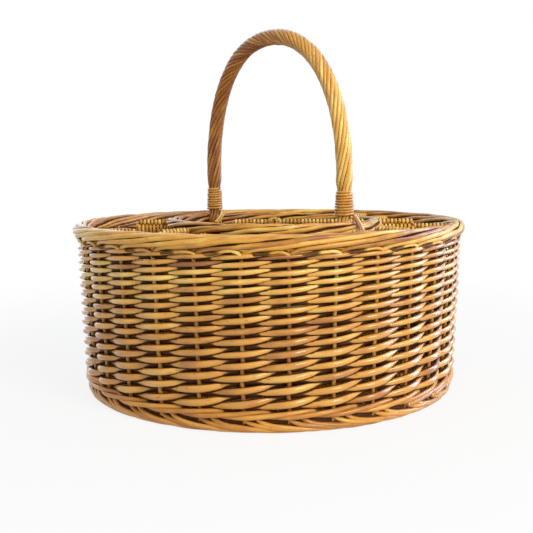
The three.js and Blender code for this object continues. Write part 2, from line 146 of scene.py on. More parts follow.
class WallSizes(bpy.types.PropertyGroup):
    """Sizes of the outer wall, its foot and its base."""

    stakes: count("Stakes", "Upright stakes round the wall", 30)
    first_stake: angle("First stake", "Direction of the first stake", -1.0)
    stake_thickness: length("Stake thickness", "Across one stake", 0.0046)
    butt_thickness: length("Butt thickness", "Across a weaving rod at its thick end", 0.0067)
    tip_thickness: length("Tip thickness", "Across a weaving rod near its thin end", 0.0042)
    low_radius: length("Low radius", "Middle of the wall at its foot", 0.229)
    high_radius: length("High radius", "Middle of the wall at its top", 0.2372)
    first_course: length("First course", "Height of the first course", 0.0325)
    low_pitch: length("Low pitch", "Rise of one course at the foot", 0.0072)
    high_pitch: length("High pitch", "Rise of one course at the top", 0.0039)
    courses: count("Courses", "Courses of plain weaving", 28)
    tip_thin: length("Loose tip thickness", "Across the last tips above the weave", 0.0024)
    wale_radius: length("Wale radius", "Middle of the waled band", 0.2305)
    wale_thickness: length("Wale rod", "Across one rod of the waled band", 0.0052)
    foot_radius: length("Foot radius", "Middle of the foot border", 0.229)
    foot_thickness: length("Foot strand", "Across one strand of the foot border", 0.0052)
    foot_reach: length("Foot reach", "From the foot border's middle to a strand's", 0.0042)
    foot_span: number("Foot span", "Stakes that a foot strand passes", 3.3)


class BorderSizes(bpy.types.PropertyGroup):
    """Sizes of the two rolled borders."""

    rim_radius: length("Rim radius", "Middle of the rim border", 0.240)
    rim_butt: length("Rim strand butt", "Across a rim strand where it leaves its stake", 0.0059)
    rim_tip: length("Rim strand tip", "Across a rim strand at its end", 0.0048)
    rim_span: number("Rim span", "Stakes that a strand passes in one turn", 7.3)
    ring_radius: length("Ring radius", "Middle of the inner border", 0.1322)
    ring_butt: length("Ring strand butt", "Across an inner border strand at its thick end", 0.0056)
    ring_tip: length("Ring strand tip", "Across an inner border strand at its end", 0.0045)
    ring_span: number("Ring span", "Stakes that a strand passes in one turn", 5.4)
    ring_lift: length("Ring lift", "How much higher the inner border is on its near left side", 0.0034)
    ring_lifted: angle("Ring lifted", "Direction in which the inner border is highest", 265.0)
    core_thickness: length("Core", "Across the hidden bundle inside a border", 0.0075)
    knuckle_thickness: length("Knuckle rod", "Across a thin rod under the rim", 0.0038)
    ring_stakes: count("Ring stakes", "Upright stakes round the inner wall", 18)


class DividerSizes(bpy.types.PropertyGroup):
    """Sizes of the partitions."""

    upright_thickness: length("Upright thickness", "Across one upright rod between the sticks", 0.0024)
    bead_thickness: length("Bead thickness", "Across one upright rod where it passes over a stick", 0.0040)
    upright_pitch: length("Upright pitch", "From one upright rod to the next", 0.0024)
    stick_thickness: length("Stick thickness", "Across one level stick", 0.0036)
    stick_pitch: length("Stick pitch", "From one level stick down to the next", 0.0235)
    top_pitch: length("Top pitch", "Between the two topmost level sticks", 0.0060)
    high_part: length("High part", "Length beside the inner ring where the top edge is high", 0.046)
    covered_part: length("Covered part", "Length by the ring where one top edge is low", 0.044)
    step_length: length("Step", "Length of the slope from the high part to the low one", 0.004)
    high_arm: length("High arm", "From the ring's middle to where the left arm gets lower", 0.050)
    left_arm_drop: length("Left arm drop", "How much lower the long partition's left arm is", 0.0085)
    right_drop: length("Right drop", "How far the rest is lower, on the right and behind", 0.0062)
    left_drop: length("Left drop", "How far the rest is lower, on the left", 0.0120)
    near_drop: length("Near drop", "How much lower one of the left partitions is", 0.0035)
    end_on_drop: length("End-on drop", "How much lower two of the ring's partitions are", 0.0085)
    crossing_drop: length("Crossing drop", "How much lower the short bottle partitions are", 0.0060)
    lashing_reach: length("Lashing reach", "From the crossing to the loops that tie it", 0.0072)
    lashing_drop: length("Lashing drop", "From the partitions' top to the middle of the loops", 0.0024)


class HandleSizes(bpy.types.PropertyGroup):
    """Sizes of the bow handle."""

    leg_radius: length("Leg reach", "From the ring's middle to each leg", 0.1236)
    spring_height: length("Spring height", "Height where the straight legs end", 0.264)
    top_height: length("Top height", "Height of the bow's middle line at its top", 0.4409)
    lean: length("Lean", "How far the top leans to the left", -0.0055, -0.1)
    fullness: number("Fullness", "Power of the arch's curve", 2.2)
    strands: count("Strands", "Rods wound over the core", 11)
    strand_thickness: length("Strand thickness", "Across one wound rod", 0.0044)
    strand_radius: length("Strand reach", "From the bow's middle line to a wound rod's", 0.0077)
    leg_lay: length("Leg lay", "Length of one full turn on the legs", 0.190)
    top_lay: length("Top lay", "Length of one full turn at the top", 0.088)
    binding_thickness: length("Binding thickness", "Across the rod wound round a leg", 0.0032)
    binding_turns: count("Binding turns", "Turns of the rod round a leg", 9)


class WillowColours(bpy.types.PropertyGroup):
    """Colours of the varnished willow."""

    light: colour("Light", "Palest bark", (0.95, 0.67, 0.17))
    middle: colour("Middle", "Usual bark", (0.71, 0.345, 0.052))
    dark: colour("Dark", "Darkest bark", (0.29, 0.090, 0.016))
    red: colour("Red", "Redder rods", (0.36, 0.115, 0.018))
    pale: colour("Pale", "Peeled and cut willow", (0.90, 0.76, 0.52))
    # Painted shade: the colour that the bark is blended towards low on the wall, where less light falls.
    low_shade: colour("Low_shade", "Bark low on the wall", (0.66, 0.285, 0.045))
    # Painted shade: the colour painted into the gaps of the weave and between the strands, where shade
    # falls.
    gap_shade: colour("Gap_shade", "Old varnish in the gaps", (0.046, 0.0088, 0.0012))
    grain_depth: length("Grain depth", "Height of the bark's grain", 0.0003)


class StageSizes(bpy.types.PropertyGroup):
    """The camera, the floor and the lamps."""

    lens: number("Lens", "Focal length in millimetres", 54.03, "CAMERA")
    distance: length("Camera distance", "From the basket's middle, level", 1.042, 0.1, 9.0)
    height: length("Camera height", "Above the floor", 0.278, 0.0, 9.0)
    heading: angle("Camera heading", "Turn about the upright", 48.17)
    seen_from: angle("Seen from", "Side of the basket that faces the camera", -42.0)
    down: angle("Camera tilt", "How far the camera looks down", 7.10)
    roll: angle("Camera roll", "Turn about the line of sight", -0.47)
    floor: colour("Floor", "Colour of the floor", (0.80, 0.80, 0.80))
    floor_width: length("Floor width", "Across the floor", 400.0, 1.0, 1000.0)
    whiteness: share("Whiteness", "How much of the floor by the basket is seen as plain white", 0.86)
    sky: share("Sky", "Strength of the even light from all round", 0.60)
    key_power: number("Key power", "Watts of the main lamp", 41.0, "POWER")
    left_width: length("Left window width", "Across the left side lamp", 1.5, 0.1, 9.0)
    right_width: length("Right window width", "Across the right side lamp", 1.2, 0.1, 9.0)
    window_height: length("Window height", "Height of each side lamp", 2.3, 0.1, 9.0)
    left_power: number("Left power", "Watts of the left side lamp", 16.0, "POWER")
    right_power: number("Right power", "Watts of the right side lamp", 78.0, "POWER")


def sizes(name):
    """The property group of that name, as it stands in the scene."""
    return getattr(bpy.context.scene, "basket_" + name)


def deselect_all():
    """Nothing is selected and nothing is being edited."""
    if bpy.context.object and bpy.context.object.mode != "OBJECT":
        bpy.ops.object.mode_set(mode="OBJECT")
    bpy.ops.object.select_all(action="DESELECT")


PATTERNS = {}
FINISHES = {}
LONGEST_GRAIN = 40


def straight_rod(stations, sides):
    """One straight rod, modelled once for each number of stations, whose Z counts the stations."""
    if (stations, sides) in PATTERNS:
        return PATTERNS[stations, sides]
    deselect_all()
    bpy.ops.mesh.primitive_circle_add(vertices=sides, radius=1, fill_type="NGON")
    rod = bpy.context.object
    bpy.ops.object.mode_set(mode="EDIT")
    bpy.ops.mesh.select_all(action="SELECT")
    for _ in range(stations - 1):
        bpy.ops.mesh.extrude_region_move(TRANSFORM_OT_translate={"value": (0, 0, 1)})
    bpy.ops.mesh.select_all(action="SELECT")
    bpy.ops.mesh.normals_make_consistent(inside=False)
    bpy.ops.object.mode_set(mode="OBJECT")
    mesh = rod.data
    points = np.empty(3 * len(mesh.vertices))
    mesh.vertices.foreach_get("co", points)
    corners = np.empty(len(mesh.loops), dtype=np.int64)
    mesh.loops.foreach_get("vertex_index", corners)
    totals = np.empty(len(mesh.polygons), dtype=np.int64)
    mesh.polygons.foreach_get("loop_total", totals)
    bpy.data.objects.remove(rod)
    bpy.data.meshes.remove(mesh)
    PATTERNS[stations, sides] = (points.reshape(-1, 3), corners, totals)
    return PATTERNS[stations, sides]


def unit(vectors):
    """The same directions with a length of one."""
    return vectors / np.maximum(np.linalg.norm(vectors, axis=-1, keepdims=True), 1e-12)


def distance_along(paths):
    """How far along its path each point lies."""
    gaps = np.linalg.norm(np.diff(paths, axis=-2), axis=-1)
    return np.concatenate([np.zeros_like(gaps[..., :1]), np.cumsum(gaps, axis=-1)], axis=-1)


def carried_frames(paths):
    """Two ways across each path at each of its points, with no twist."""
    along = unit(np.gradient(paths, axis=1))
    first = np.zeros_like(along)
    sideways = np.array([0.6, 0.8, 0.0])
    steep = np.abs(along[:, :1, 2:]) > 0.9
    start = np.where(steep, sideways, UPWARD)
    first[:, 0] = unit(start - along[:, :1] * np.sum(start * along[:, :1], axis=-1, keepdims=True))[:, 0]
    for station in range(1, paths.shape[1]):
        way = along[:, station]
        before = first[:, station - 1]
        first[:, station] = unit(before - way * np.sum(before * way, axis=-1, keepdims=True))
    return first, np.cross(along, first)


class Rods:
    """Bent copies of the straight rod that become one piece."""

    def __init__(self, seed):
        self.chance = np.random.default_rng(seed)
        self.points = []
        self.corners = []
        self.totals = []
        self.place = []
        self.kind = []
        self.shade = []
        self.laid = 0

    def lay(self, paths, thickness, sides=8, tone=0.5, spread=0.3, red=0.0, shade=0.0):
        """Bends one rod along each path. Thickness, tone and shade may change from station to station.

        Shade may also be a function of the bent points and their stations."""
        paths = np.asarray(paths, dtype=float)
        if paths.ndim == 2:
            paths = paths[None]
        rods, stations = paths.shape[:2]
        points, corners, totals = straight_rod(stations, sides)
        station = np.rint(points[:, 2]).astype(int)

        def at_points(value):
            return np.broadcast_to(np.asarray(value, dtype=float), (rods, stations))[:, station]

        first, second = carried_frames(paths)
        reach = at_points(thickness)[..., None] / 2
        bent = (paths[:, station]
                + reach * points[None, :, :1] * first[:, station]
                + reach * points[None, :, 1:2] * second[:, station])
        own_grain = self.chance.uniform(0, LONGEST_GRAIN, (rods, 1))
        place = np.stack([
            reach[..., 0] * points[None, :, 0],
            reach[..., 0] * points[None, :, 1],
            distance_along(paths)[:, station] + own_grain,
        ], axis=-1)
        own_tone = np.clip(at_points(tone) + spread * self.chance.uniform(-1, 1, (rods, 1)), 0, 1)
        share_along = station / (stations - 1)
        kind = np.stack(np.broadcast_arrays(own_tone, at_points(red), share_along[None]), axis=-1)
        own_shade = shade(bent, station) if callable(shade) else at_points(shade)
        each = len(points)
        steps = self.laid + each * np.arange(rods)
        self.points.append(bent.reshape(-1, 3))
        self.corners.append((corners[None] + steps[:, None]).ravel())
        self.totals.append(np.tile(totals, rods))
        self.place.append(place.reshape(-1, 3))
        self.kind.append(kind.reshape(-1, 3))
        self.shade.append(own_shade.ravel())
        self.laid += each * rods

    def finish(self, name, slot, node):
        """Makes the piece, with its finish, ties it to the basket's body and hides the CAD part of the node
        it stands for.
        """
        mesh = bpy.data.meshes.new(name)
        points = np.concatenate(self.points)
        corners = np.concatenate(self.corners)
        totals = np.concatenate(self.totals)
        mesh.vertices.add(len(points))
        mesh.vertices.foreach_set("co", points.ravel())
        mesh.loops.add(len(corners))
        mesh.loops.foreach_set("vertex_index", corners)
        mesh.polygons.add(len(totals))
        mesh.polygons.foreach_set("loop_start", np.cumsum(totals) - totals)
        mesh.polygons.foreach_set("loop_total", totals)
        mesh.polygons.foreach_set("use_smooth", np.ones(len(totals), dtype=bool))
        mesh.update(calc_edges=True)
        for label, values in (("rod_place", self.place), ("rod_kind", self.kind)):
            attribute = mesh.attributes.new(label, "FLOAT_VECTOR", "POINT")
            attribute.data.foreach_set("vector", np.concatenate(values).ravel())
        shade = mesh.attributes.new("rod_shade", "FLOAT", "POINT")
        shade.data.foreach_set("value", np.concatenate(self.shade))
        piece = bpy.data.objects.new(name, mesh)
        bpy.context.scene.collection.objects.link(piece)
        mesh.materials.append(willow(slot))
        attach(piece, BODY)
        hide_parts(node)


def smooth(value):
    """A soft step from nought to one."""
    value = np.clip(value, 0, 1)
    return value * value * (3 - 2 * value)


def mix(start, end, part):
    """Between two values."""
    return start + (end - start) * part


def sunk(middles, low, high):
    """Painted shade: full within the low distance of a middle line, none beyond the high one."""
    def shade(points, station):
        depth = np.linalg.norm(points - middles[:, station], axis=-1)
        return 1 - smooth((depth - low) / (high - low))
    return shade


def round_path(angles, radius, height, centre=(0.0, 0.0)):
    """Points at those directions, reaches and heights about an upright line."""
    angles, radius, height = np.broadcast_arrays(angles, radius, height)
    return np.stack([
        centre[0] + radius * np.cos(angles),
        centre[1] + radius * np.sin(angles),
        height,
    ], axis=-1)


def wobble(chance, rods, stations, waves=5):
    """Soft irregularity along each rod, about one unit high."""
    along = np.linspace(0, 1, stations)[None]
    total = np.zeros((rods, stations))
    for wave in range(1, waves + 1):
        phase = chance.uniform(0, TURN, (rods, 1))
        speed = wave * chance.uniform(0.7, 1.3, (rods, 1)) * 2.3
        total += np.sin(TURN * speed * along + phase) * chance.uniform(0.2, 1, (rods, 1)) / wave ** 0.6
    return total / 1.6


def through(points, each=6):
    """A smooth line through those points."""
    points = np.asarray(points, dtype=float)
    padded = np.concatenate([2 * points[:1] - points[1:2], points, 2 * points[-1:] - points[-2:-1]])
    part = (np.arange(each) / each)[:, None]
    pieces = []
    for before, start, end, after in zip(padded, padded[1:], padded[2:], padded[3:]):
        pieces.append(0.5 * (
            2 * start + (end - before) * part
            + (2 * before - 5 * start + 4 * end - after) * part ** 2
            + (3 * start - before - 3 * end + after) * part ** 3
        ))
    pieces.append(points[-1:])
    return np.concatenate(pieces)


class Nodes:
    """Short ways to place and join shader nodes in one tree."""

    def __init__(self, tree):
        self.tree = tree

    def place(self, kind, **values):
        node = self.tree.nodes.new(kind)
        for label, value in values.items():
            setattr(node, label, value)
        return node

    def join(self, source, target):
        if isinstance(source, bpy.types.NodeSocket):
            self.tree.links.new(source, target)
        else:
            target.default_value = source

    def maths(self, operation, *values, clamp=False):
        node = self.place("ShaderNodeMath", operation=operation, use_clamp=clamp)
        for value, socket in zip(values, node.inputs):
            self.join(value, socket)
        return node.outputs[0]

    def noise(self, place, across, along, detail, roughness=0.5):
        """Soft noise, as fine as that many spots to a metre across a rod and along it."""
        fine = self.place("ShaderNodeVectorMath", operation="MULTIPLY")
        self.join(place, fine.inputs[0])
        fine.inputs[1].default_value = (across, across, along)
        node = self.place("ShaderNodeTexNoise")
        self.join(fine.outputs[0], node.inputs["Vector"])
        node.inputs["Scale"].default_value = 1.0
        node.inputs["Detail"].default_value = detail
        node.inputs["Roughness"].default_value = roughness
        return node.outputs["Fac"]

    def varied(self, value, pattern, amount):
        """A value that goes up and down by that amount with a pattern."""
        return self.maths("MULTIPLY_ADD", self.maths("SUBTRACT", pattern, 0.5), amount, value)

    def step(self, value, low, high):
        node = self.place("ShaderNodeMapRange", interpolation_type="SMOOTHSTEP")
        self.join(value, node.inputs["Value"])
        self.join(low, node.inputs["From Min"])
        self.join(high, node.inputs["From Max"])
        return node.outputs["Result"]

    def blend(self, part, first, second):
        node = self.place("ShaderNodeMix", data_type="RGBA")
        self.join(part, node.inputs["Factor"])
        self.join(first, node.inputs[6])
        self.join(second, node.inputs[7])
        return node.outputs[2]


def bark_group():
    """Bark of a varnished rod: tone of its own, grain, mottling, knots and cut ends, with painted shade in
    the gaps and low on the wall.
    """
    group = bpy.data.node_groups.new("Varnished bark", "ShaderNodeTree")
    sockets = [(label.capitalize(), "INPUT", "NodeSocketColor") for label in BARK_COLOURS]
    sockets += [(label, "INPUT", "NodeSocketFloat") for label in ("Tone", "Cut")]
    sockets += [("Color", "OUTPUT", "NodeSocketColor")]
    sockets += [(label, "OUTPUT", "NodeSocketFloat") for label in ("Roughness", "Height", "Unshaded")]
    for label, way, kind in sockets:
        group.interface.new_socket(label, in_out=way, socket_type=kind)
    nodes = Nodes(group)
    given = nodes.place("NodeGroupInput").outputs
    place = nodes.place("ShaderNodeAttribute", attribute_name="rod_place").outputs["Vector"]
    kind = nodes.place("ShaderNodeSeparateXYZ")
    given_kind = nodes.place("ShaderNodeAttribute", attribute_name="rod_kind").outputs["Vector"]
    nodes.join(given_kind, kind.inputs[0])
    shade = nodes.place("ShaderNodeAttribute", attribute_name="rod_shade").outputs["Fac"]
    tone, red, along = kind.outputs
    spot = nodes.place("ShaderNodeSeparateXYZ")
    nodes.join(nodes.place("ShaderNodeTexCoord").outputs["Object"], spot.inputs[0])
    streaks = nodes.noise(place, across=1500, along=60, detail=3, roughness=0.6)
    mottle = nodes.noise(place, across=130, along=45, detail=2)
    slow = nodes.noise(place, across=20, along=14, detail=1)
    knots = nodes.step(nodes.noise(place, across=420, along=150, detail=0), 0.765, 0.80)
    # Low on the wall the bark is painted darker and more orange: painted shade, as less light falls there
    # from above.
    lit_above, shaded_below = 0.19, 0.02
    low_shading = nodes.step(spot.outputs["Z"], lit_above, shaded_below)
    level = nodes.maths("MULTIPLY_ADD", tone, 0.9, given["Tone"])
    for pattern, amount in ((mottle, 0.9), (streaks, 0.6), (slow, 0.9)):
        level = nodes.varied(level, pattern, amount)
    level = nodes.maths("MULTIPLY_ADD", low_shading, -0.15, level)
    # Painted shade: where rod_shade is high, the bark takes the gap shade colour, standing in for the shade
    # deep in the weave and between strands.
    gap_shaded = nodes.maths("MULTIPLY", nodes.step(nodes.varied(shade, mottle, 0.35), 0.38, 0.62), 0.92)
    redder_from, redder_full = 0.45, 0.6
    redness = nodes.maths("MULTIPLY", red, nodes.step(slow, redder_from, redder_full), clamp=True)
    # Only the two end faces of a rod, where it begins and stops, show as cut.
    cut_from, cut_full = 0.4995, 0.49999
    from_end = nodes.maths("ABSOLUTE", nodes.maths("SUBTRACT", along, 0.5))
    cut = nodes.maths("MULTIPLY", nodes.step(from_end, cut_from, cut_full), given["Cut"])
    bark = given["Dark"]
    for part, over in (
        (nodes.step(level, -0.1, 0.5), "Middle"),
        (nodes.step(level, 0.45, 1.0), "Light"),
        (nodes.maths("MULTIPLY", low_shading, 0.45), "Low_shade"),
        (redness, "Red"),
        (nodes.maths("MULTIPLY", knots, 0.55), "Red"),
        (gap_shaded, "Gap_shade"),
        (cut, "Pale"),
    ):
        bark = nodes.blend(part, bark, given[over])
    gloss = nodes.maths("MULTIPLY_ADD", streaks, 0.22, 0.30)
    gloss = nodes.maths("MULTIPLY_ADD", gap_shaded, 0.3, gloss, clamp=True)
    height = nodes.maths("MULTIPLY_ADD", knots, 1.2, streaks)
    height = nodes.maths("MULTIPLY_ADD", mottle, 0.8, height)
    # The coat is left off where the shade is painted.
    unshaded = nodes.maths("SUBTRACT", 1.0, gap_shaded)
    result = nodes.place("NodeGroupOutput").inputs
    for label, value in (("Color", bark), ("Roughness", gloss), ("Height", height), ("Unshaded", unshaded)):
        nodes.join(value, result[label])
    return group


def willow(name):
    """One finish of varnished willow, made once and shared by the pieces that have it."""
    if name in FINISHES:
        return FINISHES[name]
    lighter, varnish, cut_shown = LOOKS[name]
    group = bpy.data.node_groups.get("Varnished bark") or bark_group()
    material = bpy.data.materials.new(name)
    material.use_nodes = True
    nodes = Nodes(material.node_tree)
    shader = material.node_tree.nodes["Principled BSDF"]
    bark = nodes.place("ShaderNodeGroup", node_tree=group)
    colours = sizes("colours")
    for label in BARK_COLOURS:
        bark.inputs[label.capitalize()].default_value = (*getattr(colours, label), 1)
    bark.inputs["Tone"].default_value = lighter
    bark.inputs["Cut"].default_value = cut_shown
    bumps = nodes.place("ShaderNodeBump")
    bumps.inputs["Strength"].default_value = 0.6
    bumps.inputs["Distance"].default_value = colours.grain_depth
    nodes.join(bark.outputs["Height"], bumps.inputs["Height"])
    nodes.join(bumps.outputs["Normal"], shader.inputs["Normal"])
    nodes.join(bark.outputs["Color"], shader.inputs["Base Color"])
    nodes.join(bark.outputs["Roughness"], shader.inputs["Roughness"])
    # The coat is kept only where no shade is painted.
    nodes.join(nodes.maths("MULTIPLY", bark.outputs["Unshaded"], varnish), shader.inputs["Coat Weight"])
    shader.inputs["Specular IOR Level"].default_value = 0.25
    shader.inputs["Coat Roughness"].default_value = 0.17
    FINISHES[name] = material
    return material


def wall_radius(height):
    """Middle of the outer wall at a height."""
    wall = sizes("wall")
    part = (height - WALL_LOW.z) / (WALL_HIGH.z - WALL_LOW.z)
    return mix(wall.low_radius, wall.high_radius, part)


def stake_angles(stakes, first):
    """Directions of evenly spaced stakes, one row for each."""
    return first + TURN / stakes * np.arange(stakes)[:, None]


def against_stakes(paths, thickness, weave, centre):
    """Painted shade on the side of each woven rod that lies against the stakes, where the weave is in shade.

    Weave is one where a rod passes before a stake, and minus one where it passes behind."""
    contrast, round_crest, clear_part = 1.3, 1.20, 0.86

    def shade(points, station):
        reach = np.hypot(points[..., 0] - centre[0], points[..., 1] - centre[1])
        middle = np.hypot(paths[..., 0] - centre[0], paths[..., 1] - centre[1])[:, station]
        facing = (reach - middle) / (thickness[:, station] / 2)
        shown = np.where(facing > 0, weave[station], -weave[station])
        from_crest = np.sqrt(np.clip(1 - facing ** 2, 0, 1))
        return np.clip(0.5 + contrast * (round_crest * from_crest - clear_part - shown), 0, 1)
    return shade


def randed_paths(chance, stakes, first_stake, travel, heights, radius, swing, centre):
    """French randing: one rod starts in each gap, goes before one stake and behind the next, and climbs.

    heights and swing give a rod's height and its reach from the wall's middle after that many stakes."""
    samples = 8
    starts_before = 1.25
    unevenness = 0.0008
    levelled = 0.0002
    steps = np.arange(-starts_before * samples, travel * samples + 1) / samples
    rod = np.arange(stakes)[:, None]
    angles = first_stake + TURN / stakes * (rod + steps[None])
    height = heights(steps)[None] + unevenness * wobble(chance, stakes, len(steps))
    height = height - levelled * np.sin(TURN * steps)[None]
    weave = np.cos(math.pi * steps)
    reach = radius(height) + swing(steps)[None] * weave[None]
    reach = reach + 0.6 * unevenness * wobble(chance, stakes, len(steps))
    return round_path(angles, reach, height, centre), steps


class BASKET_OT_wall_stakes(bpy.types.Operator):
    """Stand the stakes of the outer wall in the base and lead them up to the rim"""

    bl_idname = "basket.wall_stakes"
    bl_label = "Wall stakes"

    def execute(self, context):
        wall = sizes("wall")
        rods = Rods(11)
        above_floor, below_rim = 0.009, 0.004
        lean, bend = 0.0012, 0.0004
        butt, tip = 1.06, 0.92
        heights = np.linspace(FOOT_LOW.z + above_floor, RIM_CENTRE_HEIGHT - below_rim, 90)
        angles = stake_angles(wall.stakes, wall.first_stake)
        leaning = lean * wobble(rods.chance, wall.stakes, len(heights), 3)
        reach = wall_radius(heights)[None] + bend * wobble(rods.chance, wall.stakes, len(heights), 4)
        paths = round_path(angles + leaning / wall.low_radius, reach, heights[None])
        taper = mix(butt, tip, np.linspace(0, 1, len(heights)))
        rods.lay(paths, wall.stake_thickness * taper, tone=0.42, shade=0.05)
        rods.finish("wall_stakes", "wall_willow", "side_wall")
        return {"FINISHED"}


class BASKET_OT_wall_weave(bpy.types.Operator):
    """Weave the outer wall, one rod from every gap"""

    bl_idname = "basket.wall_weave"
    bl_label = "Wall weave"

    def execute(self, context):
        wall = sizes("wall")
        rods = Rods(12)
        turns = wall.courses
        tip_travel = 1.8
        tip_starts = 0.5
        bulge = 1.15
        pressed_in = 0.0003
        thinnest, thickest = 0.93, 1.07
        between_stakes, at_stakes = 1.04, 0.22
        low_tone, darker_at_top, dark_courses = 0.56, 0.34, 6
        red_from, redness = 0.9, 0.6

        def heights(steps):
            part = steps / turns
            climb = turns * (wall.low_pitch * part + (wall.high_pitch - wall.low_pitch) * part ** 2 / 2)
            return wall.first_course + climb

        def thickness(steps):
            body = mix(wall.butt_thickness, wall.tip_thickness, steps / turns)
            ending = np.clip((steps - turns + tip_starts) / (tip_travel + tip_starts), 0, 1)
            return mix(body, wall.tip_thin, ending)

        def swing(steps):
            return (wall.stake_thickness + bulge * thickness(steps)) / 2 - pressed_in

        paths, steps = randed_paths(
            rods.chance, wall.stakes, wall.first_stake, turns + tip_travel,
            heights, wall_radius, swing, (0, 0),
        )
        own = rods.chance.uniform(thinnest, thickest, (wall.stakes, 1))
        own = own * (1 + 0.05 * wobble(rods.chance, wall.stakes, len(steps), 9))
        weave = np.cos(math.pi * steps)
        across = thickness(steps)[None] * own * (between_stakes + at_stakes * np.abs(weave))
        tone = low_tone - darker_at_top * smooth((steps - turns + dark_courses) / dark_courses)
        is_red = rods.chance.uniform(0, 1, (wall.stakes, 1)) > red_from
        rods.lay(paths, across, tone=tone, spread=0.28, red=np.where(is_red, redness, 0.0),
                 shade=against_stakes(paths, across, weave, (0.0, 0.0)))
        rods.finish("wall_weave", "wall_willow", "side_wall")
        return {"FINISHED"}


class BASKET_OT_base_wale(bpy.types.Operator):
    """Lay the waled band: three rods that each pass before two stakes and behind one"""

    bl_idname = "basket.base_wale"
    bl_label = "Waled band"

    def execute(self, context):
        wall = sizes("wall")
        rods = Rods(13)
        samples = 6
        turns = 1.7
        swing, furthest_out = 0.0042, 1.25
        rise = 0.0022
        low, high = WALE_LOW.z + 0.0042, WALE_HIGH.z - 0.0030
        tip_travel, tip = 1.5, 0.75
        steps = np.arange(0, turns * wall.stakes * samples + 1) / samples
        # Front is one where a rod is furthest outside the stakes, and below nought where it is inside.
        for rod in range(3):
            phase = steps / 3 + 1 / 6
            front = (np.cos(TURN * (phase - 1 / 3)) + 0.25) / 0.75
            climb = np.sin(TURN * (phase - 1 / 3)) / 0.87
            angles = wall.first_stake + TURN / wall.stakes * (steps + rod)
            unevenness = 0.0003 * wobble(rods.chance, 1, len(steps), 9)[0]
            reach = wall.wale_radius + swing * np.minimum(front, furthest_out) + unevenness
            height = mix(low, high, steps / steps[-1]) + rise * climb
            own = wall.wale_thickness * rods.chance.uniform(0.94, 1.06)
            ends = np.where(steps > steps[-1] - tip_travel, tip, 1.0)
            # Painted shade where a rod passes inside the stakes.
            rods.lay(round_path(angles, reach, height), own * ends, tone=0.6, spread=0.2,
                     shade=0.5 + 1.2 * (-0.45 - front))
        rods.finish("base_wale_rods", "base_willow", "base_wale")
        return {"FINISHED"}


def core_ring(radius, height, stations, centre=(0.0, 0.0)):
    """The path of a hidden bundle that fills a border, closed by a little more than a turn."""
    return round_path(np.linspace(0, TURN * 1.01, stations), radius, height, centre)


class BASKET_OT_foot_border(bpy.types.Operator):
    """Roll the foot border: pairs of thick strands that leave the stakes and run down and under"""

    bl_idname = "basket.foot_border"
    bl_label = "Foot border"

    def execute(self, context):
        wall = sizes("wall")
        rods = Rods(14)
        step = TURN / wall.stakes
        height = FOOT_LOW.z + wall.foot_reach + wall.foot_thickness / 2
        top = WALE_LOW.z + 0.003
        between_twins = 0.30
        first_side, last_side = math.radians(48), math.radians(-190)
        loose_turn, loose_reach = 0.12, 0.06
        falling_part = 0.45
        part = np.linspace(0, 1, 64)[None]
        angles = step * wall.foot_span * part
        for twin in range(2):
            starts = wall.first_stake + step * (np.arange(wall.stakes)[:, None] + between_twins * twin)
            slack = wobble(rods.chance, wall.stakes, part.shape[1], 3)
            around = mix(first_side, last_side, part) + loose_turn * slack
            reach = wall.foot_reach * (1 + loose_reach * wobble(rods.chance, wall.stakes, part.shape[1], 3))
            wound = round_path(
                starts + angles, wall.foot_radius + reach * np.cos(around), height + reach * np.sin(around),
            )
            fall = np.clip(part * wall.foot_span / falling_part, 0, 1)
            stake_height = mix(top, height + wall.foot_reach, fall)
            stake = round_path(starts + 0.4 * angles, wall.wale_radius, stake_height)
            paths = mix(stake, wound, smooth(fall)[..., None])
            own = wall.foot_thickness * rods.chance.uniform(0.93, 1.05, (wall.stakes, 1))
            taper = mix(1.0, 0.84, part)
            paths[..., 2] = np.maximum(paths[..., 2], FOOT_LOW.z + own * taper / 2)
            middles = round_path(starts + angles, wall.foot_radius, height)
            rods.lay(paths, own * taper, tone=0.58, spread=0.28,
                     shade=sunk(middles, 0.8 * wall.foot_reach, 1.25 * wall.foot_reach))
        # Two dark bundles in full painted shade fill the gaps inside the foot border and under the wale.
        for inward, level, thickness in (
            (0.001, height + 0.0005, 0.0078),
            (0.003, WALE_LOW.z - 0.0006, 0.0088),
        ):
            rods.lay(core_ring(wall.foot_radius - inward, level, 181), thickness, tone=CORE_TONE, shade=1.0)
        rods.finish("foot_border_strands", "base_willow", "foot_border")
        return {"FINISHED"}


def border(rods, stakes, first, radius, height, tube, butt, tip, span, centre, stake_reach, loose):
    """A rolled border: every stake bends out over the wall's top and winds once round the border.

    Gives the strands' paths, their thickness and the border's own middle line beside each."""
    step = TURN / stakes
    samples = 9
    stations = int(span * samples) + 1
    part = np.linspace(0, 1, stations)[None]
    first_side, last_side = math.radians(-80), math.radians(262)
    rising_part = 0.55
    stake_bottom, stake_top = height - tube - 0.006, height - tube + 0.004
    thickness = mix(butt, tip, part) * rods.chance.uniform(0.92, 1.08, (stakes, 1))
    most = tube - thickness / 2 - 0.0003
    starts = stake_angles(stakes, first)
    slack = rods.chance.uniform(-1, 1, (stakes, 1)) + wobble(rods.chance, stakes, stations, 3)
    around = mix(first_side, last_side, part) + loose * slack
    reach = np.minimum(most * (0.96 + 0.6 * loose * wobble(rods.chance, stakes, stations, 4)), most)
    angles = starts + step * span * part
    wound = round_path(angles, radius + reach * np.cos(around), height + reach * np.sin(around), centre)
    rise = np.clip(part * span / rising_part, 0, 1)
    stake_height = mix(stake_bottom, stake_top, rise)
    stake = round_path(starts + 0.12 * step * rise, stake_reach, stake_height, centre)
    paths = mix(stake, wound, smooth(rise)[..., None])
    return paths, thickness, round_path(angles, radius, height, centre)


